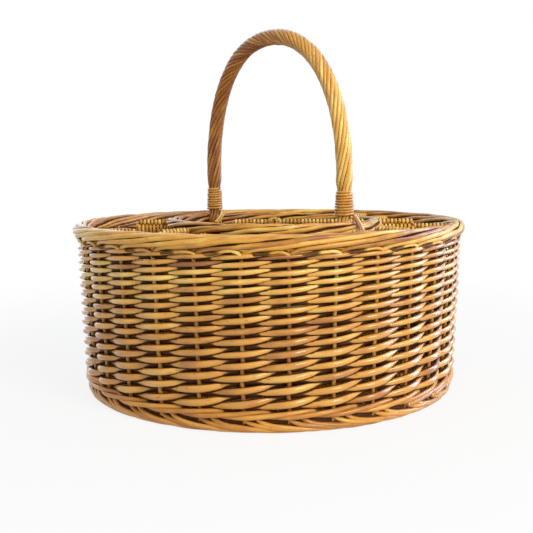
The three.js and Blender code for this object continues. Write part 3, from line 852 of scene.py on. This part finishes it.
class BASKET_OT_rim_border(bpy.types.Operator):
    """Roll the stakes down into the rim border"""

    bl_idname = "basket.rim_border"
    bl_label = "Rim border"

    def execute(self, context):
        wall = sizes("wall")
        edge = sizes("borders")
        rods = Rods(15)
        loose = 0.17
        paths, thickness, middles = border(
            rods, wall.stakes, wall.first_stake, edge.rim_radius, RIM_CENTRE_HEIGHT, RIM_TUBE_RADIUS,
            edge.rim_butt, edge.rim_tip, edge.rim_span, (0, 0), wall.high_radius, loose,
        )
        depth = RIM_TUBE_RADIUS - edge.rim_butt / 2
        rods.lay(paths, thickness, tone=0.52, spread=0.44, shade=sunk(middles, 0.90 * depth, 1.20 * depth))
        core = core_ring(edge.rim_radius, RIM_CENTRE_HEIGHT, 241)
        rods.lay(core, edge.core_thickness, tone=CORE_TONE, shade=1.0)
        rods.finish("rim_border_strands", "border_willow", "rim_border")
        return {"FINISHED"}


class BASKET_OT_rim_knuckles(bpy.types.Operator):
    """Lay the last round of thin rods, whose elbows show before each stake under the rim"""

    bl_idname = "basket.rim_knuckles"
    bl_label = "Rim knuckles"

    def execute(self, context):
        wall = sizes("wall")
        edge = sizes("borders")
        rods = Rods(21)
        step = TURN / wall.stakes
        under = RIM_CENTRE_HEIGHT - RIM_TUBE_RADIUS
        for stake in range(wall.stakes):
            lift = rods.chance.uniform(-0.0010, 0.0010)
            bulge = rods.chance.uniform(-0.0012, 0.0004)
            early = rods.chance.uniform(-0.06, 0.06)
            # Along in stakes, out from the wall, and up from the rim's underside.
            line = through((
                (-0.80, 0.0026, -0.0034),
                (-0.55, 0.0042, -0.0016),
                (-0.34, 0.0056 + bulge, 0.0002 + lift),
                (-0.18 + early, 0.0066 + bulge, 0.0010 + lift),
                (-0.07 + early, 0.0064 + bulge, 0.0002 + lift),
                (0.00 + early, 0.0054 + bulge, -0.0016 + lift),
                (0.02, 0.0034, -0.0044),
                (0.02, 0.0006, -0.0076),
            ))
            angles = wall.first_stake + step * (stake + line[:, 0])
            path = round_path(angles, wall.high_radius + line[:, 1], under + line[:, 2])
            # Painted shade on the part of the rod before its elbow and on its end that goes down into the
            # wall under the rim.
            before_elbow = np.interp(line[:, 0], [-0.45, -0.20], [0.60, 0.10])
            under_elbow = np.interp(line[:, 2], [-0.0060, -0.0030], [0.80, 0.0])
            thickness = edge.knuckle_thickness * rods.chance.uniform(0.85, 1.1)
            rods.lay(path, thickness, tone=0.60, spread=0.25, shade=np.maximum(before_elbow, under_elbow))
        rods.finish("rim_knuckles", "border_willow", "rim_border")
        return {"FINISHED"}


class BASKET_OT_inner_border(bpy.types.Operator):
    """Roll the inner stakes down into the inner border"""

    bl_idname = "basket.inner_border"
    bl_label = "Inner border"

    def execute(self, context):
        edge = sizes("borders")
        rods = Rods(16)
        centre = RING_CENTRE[:2]
        inside, loose = 0.005, 0.26
        usual_tone, lit_side = 0.34, 0.90
        paths, thickness, middles = border(
            rods, edge.ring_stakes, FIRST_RING_STAKE, edge.ring_radius, RING_CENTRE.z, RING_TUBE_RADIUS,
            edge.ring_butt, edge.ring_tip, edge.ring_span, centre, edge.ring_radius - inside, loose,
        )
        depth = RING_TUBE_RADIUS - edge.ring_butt / 2
        side = np.arange(edge.ring_stakes) / edge.ring_stakes
        # Painted light and shade: strands on the side towards the key lamp are lighter, and those round the
        # far side, away from it, are darker.
        tone = usual_tone + usual_tone * np.cos(TURN * (side - lit_side))[:, None]
        core = core_ring(edge.ring_radius, RING_CENTRE.z, 181, centre)
        for points in (paths, middles, core):
            direction = np.arctan2(points[..., 1] - centre[1], points[..., 0] - centre[0])
            points[..., 2] += edge.ring_lift * (0.5 + 0.5 * np.cos(direction - edge.ring_lifted))
        rods.lay(paths, thickness, tone=tone, spread=0.25, red=0.1,
                 shade=sunk(middles, 0.92 * depth, 1.20 * depth))
        rods.lay(core, edge.core_thickness, tone=CORE_TONE, shade=1.0)
        rods.finish("inner_border_strands", "border_willow", "inner_border")
        return {"FINISHED"}


class BASKET_OT_inner_wall(bpy.types.Operator):
    """Stand the inner stakes and weave the inner wall in two sets of rods"""

    bl_idname = "basket.inner_wall"
    bl_label = "Inner wall"

    def execute(self, context):
        wall = sizes("wall")
        stakes = sizes("borders").ring_stakes
        centre = RING_CENTRE[:2]
        outside = 0.0062
        pressed_in = 0.0003
        butt, tip = 0.0056, 0.0044
        radius = (INNER_HIGH.x - INNER_LOW.x) / 2 - outside
        rods = Rods(17)
        heights = np.linspace(INNER_LOW.z + 0.002, RING_CENTRE.z - 0.004, 60)
        angles = stake_angles(stakes, FIRST_RING_STAKE)
        standing = round_path(angles, radius, heights[None], centre)
        rods.lay(standing, wall.stake_thickness, tone=0.45, shade=0.1)
        rods.finish("inner_stakes", "wall_willow", "inner_wall")
        rods = Rods(18)
        low, high = INNER_LOW.z + 0.004, INNER_HIGH.z - 0.006
        sets = 2
        pitch = (high - low) / (sets * stakes + 1)

        def thickness(steps):
            return mix(butt, tip, steps / stakes)

        for part in range(sets):
            paths, steps = randed_paths(
                rods.chance, stakes, FIRST_RING_STAKE, stakes,
                lambda steps: low + part * pitch * stakes + pitch * (steps + 0.5),
                lambda height: np.full_like(height, radius),
                lambda steps: (wall.stake_thickness + thickness(steps)) / 2 - pressed_in,
                centre,
            )
            across = np.broadcast_to(thickness(steps), paths.shape[:2])
            rods.lay(paths, across, tone=0.42, spread=0.35, red=0.1,
                     shade=against_stakes(paths, across, np.cos(math.pi * steps), centre))
        rods.finish("inner_weave", "wall_willow", "inner_wall")
        return {"FINISHED"}


class BASKET_OT_base(bpy.types.Operator):
    """Cross the base sticks, fan them out and weave the base round them"""

    bl_idname = "basket.base"
    bl_label = "Base"

    def execute(self, context):
        height = (BASE_LOW.z + BASE_HIGH.z) / 2
        edge = (BASE_HIGH.x - BASE_LOW.x) / 2
        sticks = 8
        spokes = 4 * sticks
        self.cross(height, edge, sticks, spokes)
        self.weave(height, edge, spokes)
        return {"FINISHED"}

    def cross(self, height, edge, sticks, spokes):
        """Two bundles of sticks that cross in the middle and fan out to the wall."""
        rods = Rods(19)
        bundle, thickness = 0.0062, 0.0061
        fans_from, fans_over = 0.030, 0.05
        crossing_reach, crossing_lift = 0.027, 0.0022
        along = np.linspace(-1, 1, 61) * edge
        open_out = smooth((np.abs(along) - fans_from) / fans_over)[:, None]
        for way in range(2):
            lift = np.where(np.abs(along) < crossing_reach, crossing_lift * (2 * way - 1), 0.0)
            for stick in range(sticks):
                offset = stick - (sticks - 1) / 2
                fan = offset * TURN / spokes
                straight = np.stack([along, np.full_like(along, offset * bundle)], axis=-1)
                radial = np.stack([along * math.cos(fan), np.abs(along) * math.sin(fan)], axis=-1)
                line = mix(straight, radial, open_out)
                points = np.stack([line[:, 0], line[:, 1], height + lift], axis=-1)
                if way:
                    points = np.stack([-points[:, 1], points[:, 0], points[:, 2]], axis=-1)
                rods.lay(points, thickness, tone=0.4, shade=0.15)
        rods.finish("base_sticks", "base_willow", "base_panel")

    def weave(self, height, edge, spokes):
        """Rounds of rod, the first ones square about the crossed sticks, out to the wall."""
        rods = Rods(20)
        samples = 6
        pitch, swing = 0.0049, 0.0018
        first_reach, last_reach = 0.0275, edge - 0.0025
        square_rounds = 3
        square_thickness, round_thickness = 0.0054, 0.0060
        rounds = math.ceil((last_reach - first_reach) / pitch) + 1
        steps = np.arange(spokes * samples + 1) / samples
        turn = TURN / spokes * (steps + 0.5)
        for ring in range(rounds):
            lift = swing * np.cos(math.pi * steps) * (-1) ** ring
            squareness = 0.5 * max(0.0, 1 - ring / square_rounds)
            corner = np.maximum(np.abs(np.cos(turn)), np.abs(np.sin(turn))) ** squareness
            reach = np.minimum((first_reach + pitch * (ring + steps / spokes)) / corner, last_reach)
            usual = round_thickness if ring >= square_rounds else square_thickness
            thickness = usual * rods.chance.uniform(0.95, 1.05)
            path = round_path(turn, reach, height + lift)
            rods.lay(path, thickness, sides=6, tone=0.45, spread=0.35, red=0.1)
        rods.finish("base_weave", "base_willow", "base_panel")


class BASKET_OT_dividers(bpy.types.Operator):
    """Weave the partitions of the outer ring and of the bottle ring"""

    bl_idname = "basket.dividers"
    bl_label = "Partitions"

    def execute(self, context):
        centre = RING_CENTRE[:2]
        panel = sizes("dividers")
        ring_reach = (INNER_HIGH.x - INNER_LOW.x) / 2
        start = ring_reach + 0.0006
        off_wall_low, off_wall_high = 0.0075, 0.0085
        lowered_tops = {3: panel.end_on_drop, 6: panel.near_drop, 7: panel.end_on_drop}
        for place in range(8):
            node = f"ring_divider_{place + 1}"
            low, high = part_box(node)
            direction = TURN * place / 8
            edge_low = reach_to(centre, direction, wall_radius(WALL_LOW.z) - off_wall_low)
            edge_high = reach_to(centre, direction, wall_radius(high.z) - off_wall_high)
            drop = panel.left_drop if place in (4, 5) else panel.right_drop
            top = high.z - lowered_tops.get(place, 0.0)
            high_from, high_to = start, start + panel.high_part
            if place == 0:
                high_from, high_to = start + panel.covered_part, edge_high
            weave_panel(
                node, 30 + place, direction, start, edge_low, edge_high, low.z, top,
                drop, high_from, high_to,
            )
        inside, from_crossing = ring_reach - 0.0130, 0.0055
        for place, (node, direction, start) in enumerate((
            ("bottle_divider_long", TURN / 8, -inside),
            ("bottle_divider_short_1", TURN * 3 / 8, from_crossing),
            ("bottle_divider_short_2", TURN * 7 / 8, from_crossing),
        )):
            low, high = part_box(node)
            top = high.z - (panel.crossing_drop if place else 0.0)
            weave_panel(
                node, 50 + place, direction, start, inside, inside, low.z, top,
                panel.left_arm_drop, -panel.high_arm, inside,
            )
        self.lashing(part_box("bottle_divider_long")[1].z)
        return {"FINISHED"}

    def lashing(self, top):
        """Loops of thin rod that tie the bottle partitions where they cross."""
        panel = sizes("dividers")
        rods = Rods(59)
        flatness = 0.62
        turn = np.linspace(0, TURN, 25)[:, None]
        middle = np.array([RING_CENTRE.x, RING_CENTRE.y, top - panel.lashing_drop])
        for way in range(2):
            along, across = level_ways(TURN * way / 4 + rods.chance.uniform(-0.1, 0.1))
            for loop in (-1, 0, 1):
                reach = panel.lashing_reach * rods.chance.uniform(0.94, 1.06)
                path = (middle + loop * panel.upright_thickness * across
                        + reach * np.cos(turn) * along
                        + reach * flatness * np.sin(turn) * UPWARD)
                rods.lay(path, panel.upright_thickness, sides=6, tone=0.6, spread=0.2, red=0.2)
        rods.finish("bottle_lashing", "divider_willow", "bottle_divider_long")


def level_ways(direction):
    """The level way in a direction, and the level way to the left of it."""
    along = np.array([math.cos(direction), math.sin(direction), 0.0])
    return along, np.array([-along[1], along[0], 0.0])


def reach_to(centre, direction, radius):
    """How far a line from the ring's middle runs before it meets a circle about the basket's middle."""
    way = Vector((math.cos(direction), math.sin(direction)))
    middle = Vector(centre)
    along = middle.dot(way)
    return -along + math.sqrt(along * along + radius * radius - middle.length_squared)


def weave_panel(node, seed, direction, start, end_low, end_high, low, high, drop, high_from, high_to):
    """One partition of thin uprights woven over level sticks, two of them close together at the top.

    The top edge is high between two distances from the ring's middle, and lower by the drop beyond them."""
    panel = sizes("dividers")
    rods = Rods(seed)
    way, across = level_ways(direction)
    middle = np.array([RING_CENTRE.x, RING_CENTRE.y, 0.0])
    top_stick, lowest_stick, least_gap = 0.0026, 0.004, 0.010
    stick_inset, bottom_inset, last_rise = 0.001, 0.0006, 0.0002
    pressed_in, bead_power = 0.0005, 0.7

    def placed(along, side, height):
        along, side, height = np.broadcast_arrays(along, side, height)
        return middle + along[..., None] * way + side[..., None] * across + height[..., None] * UPWARD

    def lowered(along):
        return drop * smooth(np.maximum(high_from - along, along - high_to) / panel.step_length)

    levels = [high - top_stick, high - top_stick - panel.top_pitch]
    while levels[-1] - panel.stick_pitch > low + least_gap:
        levels.append(levels[-1] - panel.stick_pitch)
    levels.append(low + lowest_stick)
    levels = np.array(levels[::-1])
    for level in levels:
        end = mix(end_low, end_high, (level - low) / (high - low))
        line = np.linspace(start + stick_inset, end - stick_inset, 49)
        sway = 0.0003 * wobble(rods.chance, 1, len(line), 3)[0]
        height = level + sway - lowered(line) * (level - low) / (high - low)
        rods.lay(placed(line, sway, height), panel.stick_thickness, tone=0.45, shade=0.3)
    uprights = int((end_high - start) / panel.upright_pitch)
    # Whole numbers are sticks: each upright starts under the lowest one and ends over the highest.
    order = np.linspace(0, len(levels) - 1, (len(levels) - 1) * 4 + 1)
    order = np.concatenate([[-0.3], order, [len(levels) - 0.72, len(levels) - 0.5]])
    heights = np.interp(order, np.arange(len(levels)), levels)
    heights[0] = low + bottom_inset
    heights[-2:] = high - last_rise, high
    rod = np.arange(uprights)
    share_along = (rod + 0.5) / uprights
    height_share = (heights - low) / (high - low)
    reach = start + share_along[:, None] * (mix(end_low, end_high, height_share)[None] - start)
    reach = reach + 0.0002 * wobble(rods.chance, uprights, len(heights), 3)
    bow = np.cos(math.pi * (order[None] + rod[:, None]))
    full = np.abs(bow) ** bead_power
    thickness = mix(panel.upright_thickness, panel.bead_thickness, full)
    swing = (panel.stick_thickness + thickness) / 2 - pressed_in
    height = heights[None] - lowered(reach) * height_share[None]
    paths = placed(reach, swing * bow, height)
    # Painted shade on each upright between the sticks, where it passes through the middle of the panel.
    rods.lay(paths, thickness, sides=6, tone=0.70, spread=0.28, shade=0.85 - 1.1 * full)
    rods.finish(node + "_rods", "divider_willow", node)


def bow_line():
    """The bow's middle line, from the foot of the left leg over the top to the foot of the right leg.

    Gives its points, evenly spaced, and how far along the line each of them lies."""
    handle = sizes("handle")
    stations = 241
    power = 2 / handle.fullness
    turn = np.linspace(math.pi, 0, 400)
    across = np.sign(np.cos(turn)) * np.abs(np.cos(turn)) ** power
    rise = np.abs(np.sin(turn)) ** power
    arch = np.stack([
        RING_CENTRE.x + handle.leg_radius * across + handle.lean * rise ** 2,
        np.full_like(turn, RING_CENTRE.y),
        mix(handle.spring_height, handle.top_height, rise),
    ], axis=-1)
    foot = RING_CENTRE.z - 0.004
    left, right = ([[RING_CENTRE.x + side * handle.leg_radius, RING_CENTRE.y, foot]] for side in (-1, 1))
    line = np.concatenate([left, arch, right])
    travelled = distance_along(line)
    even = np.linspace(0, travelled[-1], stations)
    return np.stack([np.interp(even, travelled, line[:, axis]) for axis in range(3)], axis=-1), even


class BASKET_OT_handle(bpy.types.Operator):
    """Bend the bow and wind its rods over the core"""

    bl_idname = "basket.handle"
    bl_label = "Bow handle"

    def execute(self, context):
        handle = sizes("handle")
        core_thickness = 0.0110
        rods = Rods(60)
        line, travelled = bow_line()
        rods.lay(line, core_thickness, sides=10, tone=CORE_TONE, shade=0.6)
        rods.finish("handle_core", "handle_willow", "handle_bow")
        rods = Rods(61)
        low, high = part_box("leg_binding_right")
        steeper_from, steeper_over = 0.10, 0.14
        waist_above, waist_below, below_binding = 0.012, 0.010, 0.002
        drawn_in = 0.80
        dark_part = 0.34
        from_end = np.minimum(travelled, travelled[-1] - travelled)
        steep = smooth((from_end - steeper_from) / steeper_over)
        lay = mix(handle.leg_lay, handle.top_lay, steep)
        turned = np.concatenate([[0.0], np.cumsum(TURN * np.diff(travelled) / lay[1:])])
        above = smooth((line[:, 2] - high.z) / waist_above)
        below = smooth((low.z - below_binding - line[:, 2]) / waist_below)
        reach = handle.strand_radius * mix(drawn_in, 1.0, np.maximum(above, below))
        lit = smooth((line[:, 0] - RING_CENTRE.x) / (2 * handle.leg_radius) + dark_part)
        side = np.array([0.0, 1.0, 0.0])
        outward = np.cross(side, unit(np.gradient(line, axis=0)))
        depth = handle.strand_radius
        for strand in range(handle.strands):
            around = turned + TURN * strand / handle.strands
            around = around + 0.05 * wobble(rods.chance, 1, len(line), 5)[0]
            own = reach * (1 + 0.03 * wobble(rods.chance, 1, len(line), 5)[0])
            path = (line + (own * np.cos(around))[:, None] * outward
                    + (own * np.sin(around))[:, None] * side)
            thickness = handle.strand_thickness * rods.chance.uniform(0.92, 1.06)
            rods.lay(path, thickness, tone=0.05 + 0.72 * lit, spread=0.16, red=0.5 * (1 - lit),
                     shade=sunk(line[None], 0.86 * depth, 1.16 * depth))
        rods.finish("handle_strands", "handle_willow", "handle_bow")
        return {"FINISHED"}


class BASKET_OT_bindings(bpy.types.Operator):
    """Wind one thin rod round each leg of the bow, and tie the legs down"""

    bl_idname = "basket.bindings"
    bl_label = "Leg bindings"

    def execute(self, context):
        handle = sizes("handle")
        turns = handle.binding_turns
        reach, inset = 0.0086, 0.0016
        for side, node, spread_out in ((1, "leg_binding_right", 0.0022), (-1, "leg_binding_left", 0.0012)):
            low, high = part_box(node)
            rods = Rods(70 + side)
            steps = np.linspace(0, turns, turns * 20 + 1)
            part = steps / turns
            leg = Vector((RING_CENTRE.x + side * handle.leg_radius, RING_CENTRE.y))
            radius = reach + spread_out * (1 - part) + 0.0002 * wobble(rods.chance, 1, len(steps), 8)[0]
            height = mix(low.z + inset, high.z - inset, part)
            height = height + 0.0003 * wobble(rods.chance, 1, len(steps), 8)[0]
            path = round_path(TURN * steps, radius, height, leg)
            rods.lay(path, handle.binding_thickness, tone=0.45, spread=0.1, red=0.25)
            for thickness, tone, points in TIES[side]:
                rods.lay(self.beside(leg, points), thickness, tone=tone, spread=0.1)
            rods.finish(node + "_rod", "binding_willow", node)
        return {"FINISHED"}

    def beside(self, leg, points):
        """A smooth line through points given to the right of a leg, before it, and by height."""
        before, right = level_ways(sizes("stage").seen_from)
        line = through(points)
        path = line[:, :1] * right + line[:, 1:2] * before + line[:, 2:] * UPWARD
        return path + np.array([leg.x, leg.y, 0.0])


class BASKET_OT_stage(bpy.types.Operator):
    """Set the floor, the lamps and the camera"""

    bl_idname = "basket.stage"
    bl_label = "Stage"

    def execute(self, context):
        stage = sizes("stage")
        self.floor(stage)
        self.world(stage)
        warm, cool = (1.0, 0.95, 0.87), (0.52, 0.70, 1.0)
        self.lamp("key", (1.30, -1.70, 1.35), 0.9, stage.key_power, warm)
        for name, place, width, power in (
            ("left_window", (-1.03, 1.94, 1.1), stage.left_width, stage.left_power),
            ("right_window", (2.12, 0.57, 1.1), stage.right_width, stage.right_power),
        ):
            window = self.lamp(name, place, width, power, cool)
            window.data.shape = "RECTANGLE"
            window.data.size_y = stage.window_height
            window.visible_diffuse = False
        self.camera(context.scene, stage)
        context.scene.view_settings.view_transform = "Standard"
        return {"FINISHED"}

    def camera(self, scene, stage):
        """The camera, on the side that the basket is seen from."""
        data = bpy.data.cameras.new("camera")
        data.lens = stage.lens
        data.sensor_width = 36
        camera = bpy.data.objects.new("camera", data)
        scene.collection.objects.link(camera)
        place = (
            stage.distance * math.cos(stage.seen_from),
            stage.distance * math.sin(stage.seen_from),
            stage.height,
        )
        camera.matrix_world = (
            Matrix.Translation(place)
            @ Matrix.Rotation(stage.heading, 4, "Z")
            @ Matrix.Rotation(math.pi / 2 - stage.down, 4, "X")
            @ Matrix.Rotation(stage.roll, 4, "Z")
        )
        scene.camera = camera

    def floor(self, stage):
        """A wide level floor under the basket."""
        deselect_all()
        bpy.ops.mesh.primitive_plane_add(size=1)
        floor = bpy.context.object
        floor.name = "floor"
        bpy.ops.object.mode_set(mode="EDIT")
        bpy.ops.mesh.select_all(action="SELECT")
        bpy.ops.transform.resize(value=(stage.floor_width, stage.floor_width, 1))
        bpy.ops.object.mode_set(mode="OBJECT")
        floor.data.materials.append(self.paint(stage))

    def seen(self, nodes):
        """One for a ray from the camera, off a gloss or through a clear surface, and nought for light."""
        path = nodes.place("ShaderNodeLightPath").outputs
        seen = nodes.maths("MAXIMUM", path["Is Camera Ray"], path["Is Glossy Ray"])
        return nodes.maths("MAXIMUM", seen, path["Is Transmission Ray"])

    def picked(self, nodes, part, first, second, output):
        """Leads two shaders, blended by a part, to an output."""
        pick = nodes.place("ShaderNodeMixShader")
        for value, socket in zip((part, first.outputs[0], second.outputs[0]), pick.inputs):
            nodes.join(value, socket)
        nodes.join(pick.outputs[0], output.inputs[0])

    def paint(self, stage):
        """A pale floor that is seen nearly white and keeps the basket's shadow."""
        near, far = 0.3, 1.2
        material = bpy.data.materials.new("floor_paint")
        material.use_nodes = True
        nodes = Nodes(material.node_tree)
        shader = material.node_tree.nodes["Principled BSDF"]
        shader.inputs["Base Color"].default_value = (*stage.floor, 1)
        shader.inputs["Roughness"].default_value = 0.9
        shader.inputs["Specular IOR Level"].default_value = 0.1
        white = nodes.place("ShaderNodeEmission")
        away = nodes.place("ShaderNodeVectorMath", operation="LENGTH")
        nodes.join(nodes.place("ShaderNodeTexCoord").outputs["Object"], away.inputs[0])
        distant = nodes.step(away.outputs["Value"], near, far)
        whiteness = nodes.maths("MULTIPLY_ADD", distant, 1 - stage.whiteness, stage.whiteness)
        part = nodes.maths("MULTIPLY", self.seen(nodes), whiteness)
        self.picked(nodes, part, shader, white, material.node_tree.nodes["Material Output"])
        return material

    def world(self, stage):
        """A soft even sky that the camera sees as white."""
        world = bpy.data.worlds.new("sky")
        bpy.context.scene.world = world
        world.use_nodes = True
        nodes = Nodes(world.node_tree)
        light = world.node_tree.nodes["Background"]
        white = nodes.place("ShaderNodeBackground")
        for shader, tint, strength in ((light, (0.87, 0.93, 1.0), stage.sky), (white, (1.0, 1.0, 1.0), 1.0)):
            shader.inputs["Color"].default_value = (*tint, 1)
            shader.inputs["Strength"].default_value = strength
        self.picked(nodes, self.seen(nodes), light, white, world.node_tree.nodes["World Output"])

    def lamp(self, name, place, size, power, tint):
        """A square lamp that looks at the basket.

        Its place is given to the right of the camera's line, away from the camera, and by height."""
        turn = Matrix.Rotation(math.radians(48), 4, "Z")
        looked_at = Vector((0, 0, 0.15))
        data = bpy.data.lights.new(name, "AREA")
        data.size = size
        data.energy = power
        data.color = tint
        lamp = bpy.data.objects.new(name, data)
        bpy.context.scene.collection.objects.link(lamp)
        spot = turn @ Vector(place)
        facing = (looked_at - spot).to_track_quat("-Z", "Y").to_matrix().to_4x4()
        lamp.matrix_world = Matrix.Translation(spot) @ facing
        return lamp


GROUPS = (
    ("wall", WallSizes),
    ("borders", BorderSizes),
    ("dividers", DividerSizes),
    ("handle", HandleSizes),
    ("colours", WillowColours),
    ("stage", StageSizes),
)
OPERATORS = (
    BASKET_OT_wall_stakes,
    BASKET_OT_wall_weave,
    BASKET_OT_base_wale,
    BASKET_OT_foot_border,
    BASKET_OT_rim_border,
    BASKET_OT_rim_knuckles,
    BASKET_OT_inner_wall,
    BASKET_OT_inner_border,
    BASKET_OT_base,
    BASKET_OT_dividers,
    BASKET_OT_handle,
    BASKET_OT_bindings,
    BASKET_OT_stage,
)


class BASKET_PT_panel(bpy.types.Panel):
    """Sizes, colours and pieces of the basket"""

    bl_label = "Basket"
    bl_idname = "BASKET_PT_panel"
    bl_space_type = "VIEW_3D"
    bl_region_type = "UI"
    bl_category = "Basket"

    def draw(self, context):
        for name, group in GROUPS:
            box = self.layout.box()
            box.label(text=name.capitalize())
            for label in group.__annotations__:
                box.prop(sizes(name), label)
        for operator in OPERATORS:
            self.layout.operator(operator.bl_idname)


def register():
    for name, group in GROUPS:
        bpy.utils.register_class(group)
        setattr(bpy.types.Scene, "basket_" + name, bpy.props.PointerProperty(type=group))
    for operator in OPERATORS:
        bpy.utils.register_class(operator)
    bpy.utils.register_class(BASKET_PT_panel)


def unregister():
    bpy.utils.unregister_class(BASKET_PT_panel)
    for operator in reversed(OPERATORS):
        bpy.utils.unregister_class(operator)
    for name, group in reversed(GROUPS):
        delattr(bpy.types.Scene, "basket_" + name)
        bpy.utils.unregister_class(group)


def main():
    """Weaves the whole basket."""
    register()
    for operator in OPERATORS:
        category, name = operator.bl_idname.split(".")
        getattr(getattr(bpy.ops, category), name)()


if __name__ == "__main__":
    main()
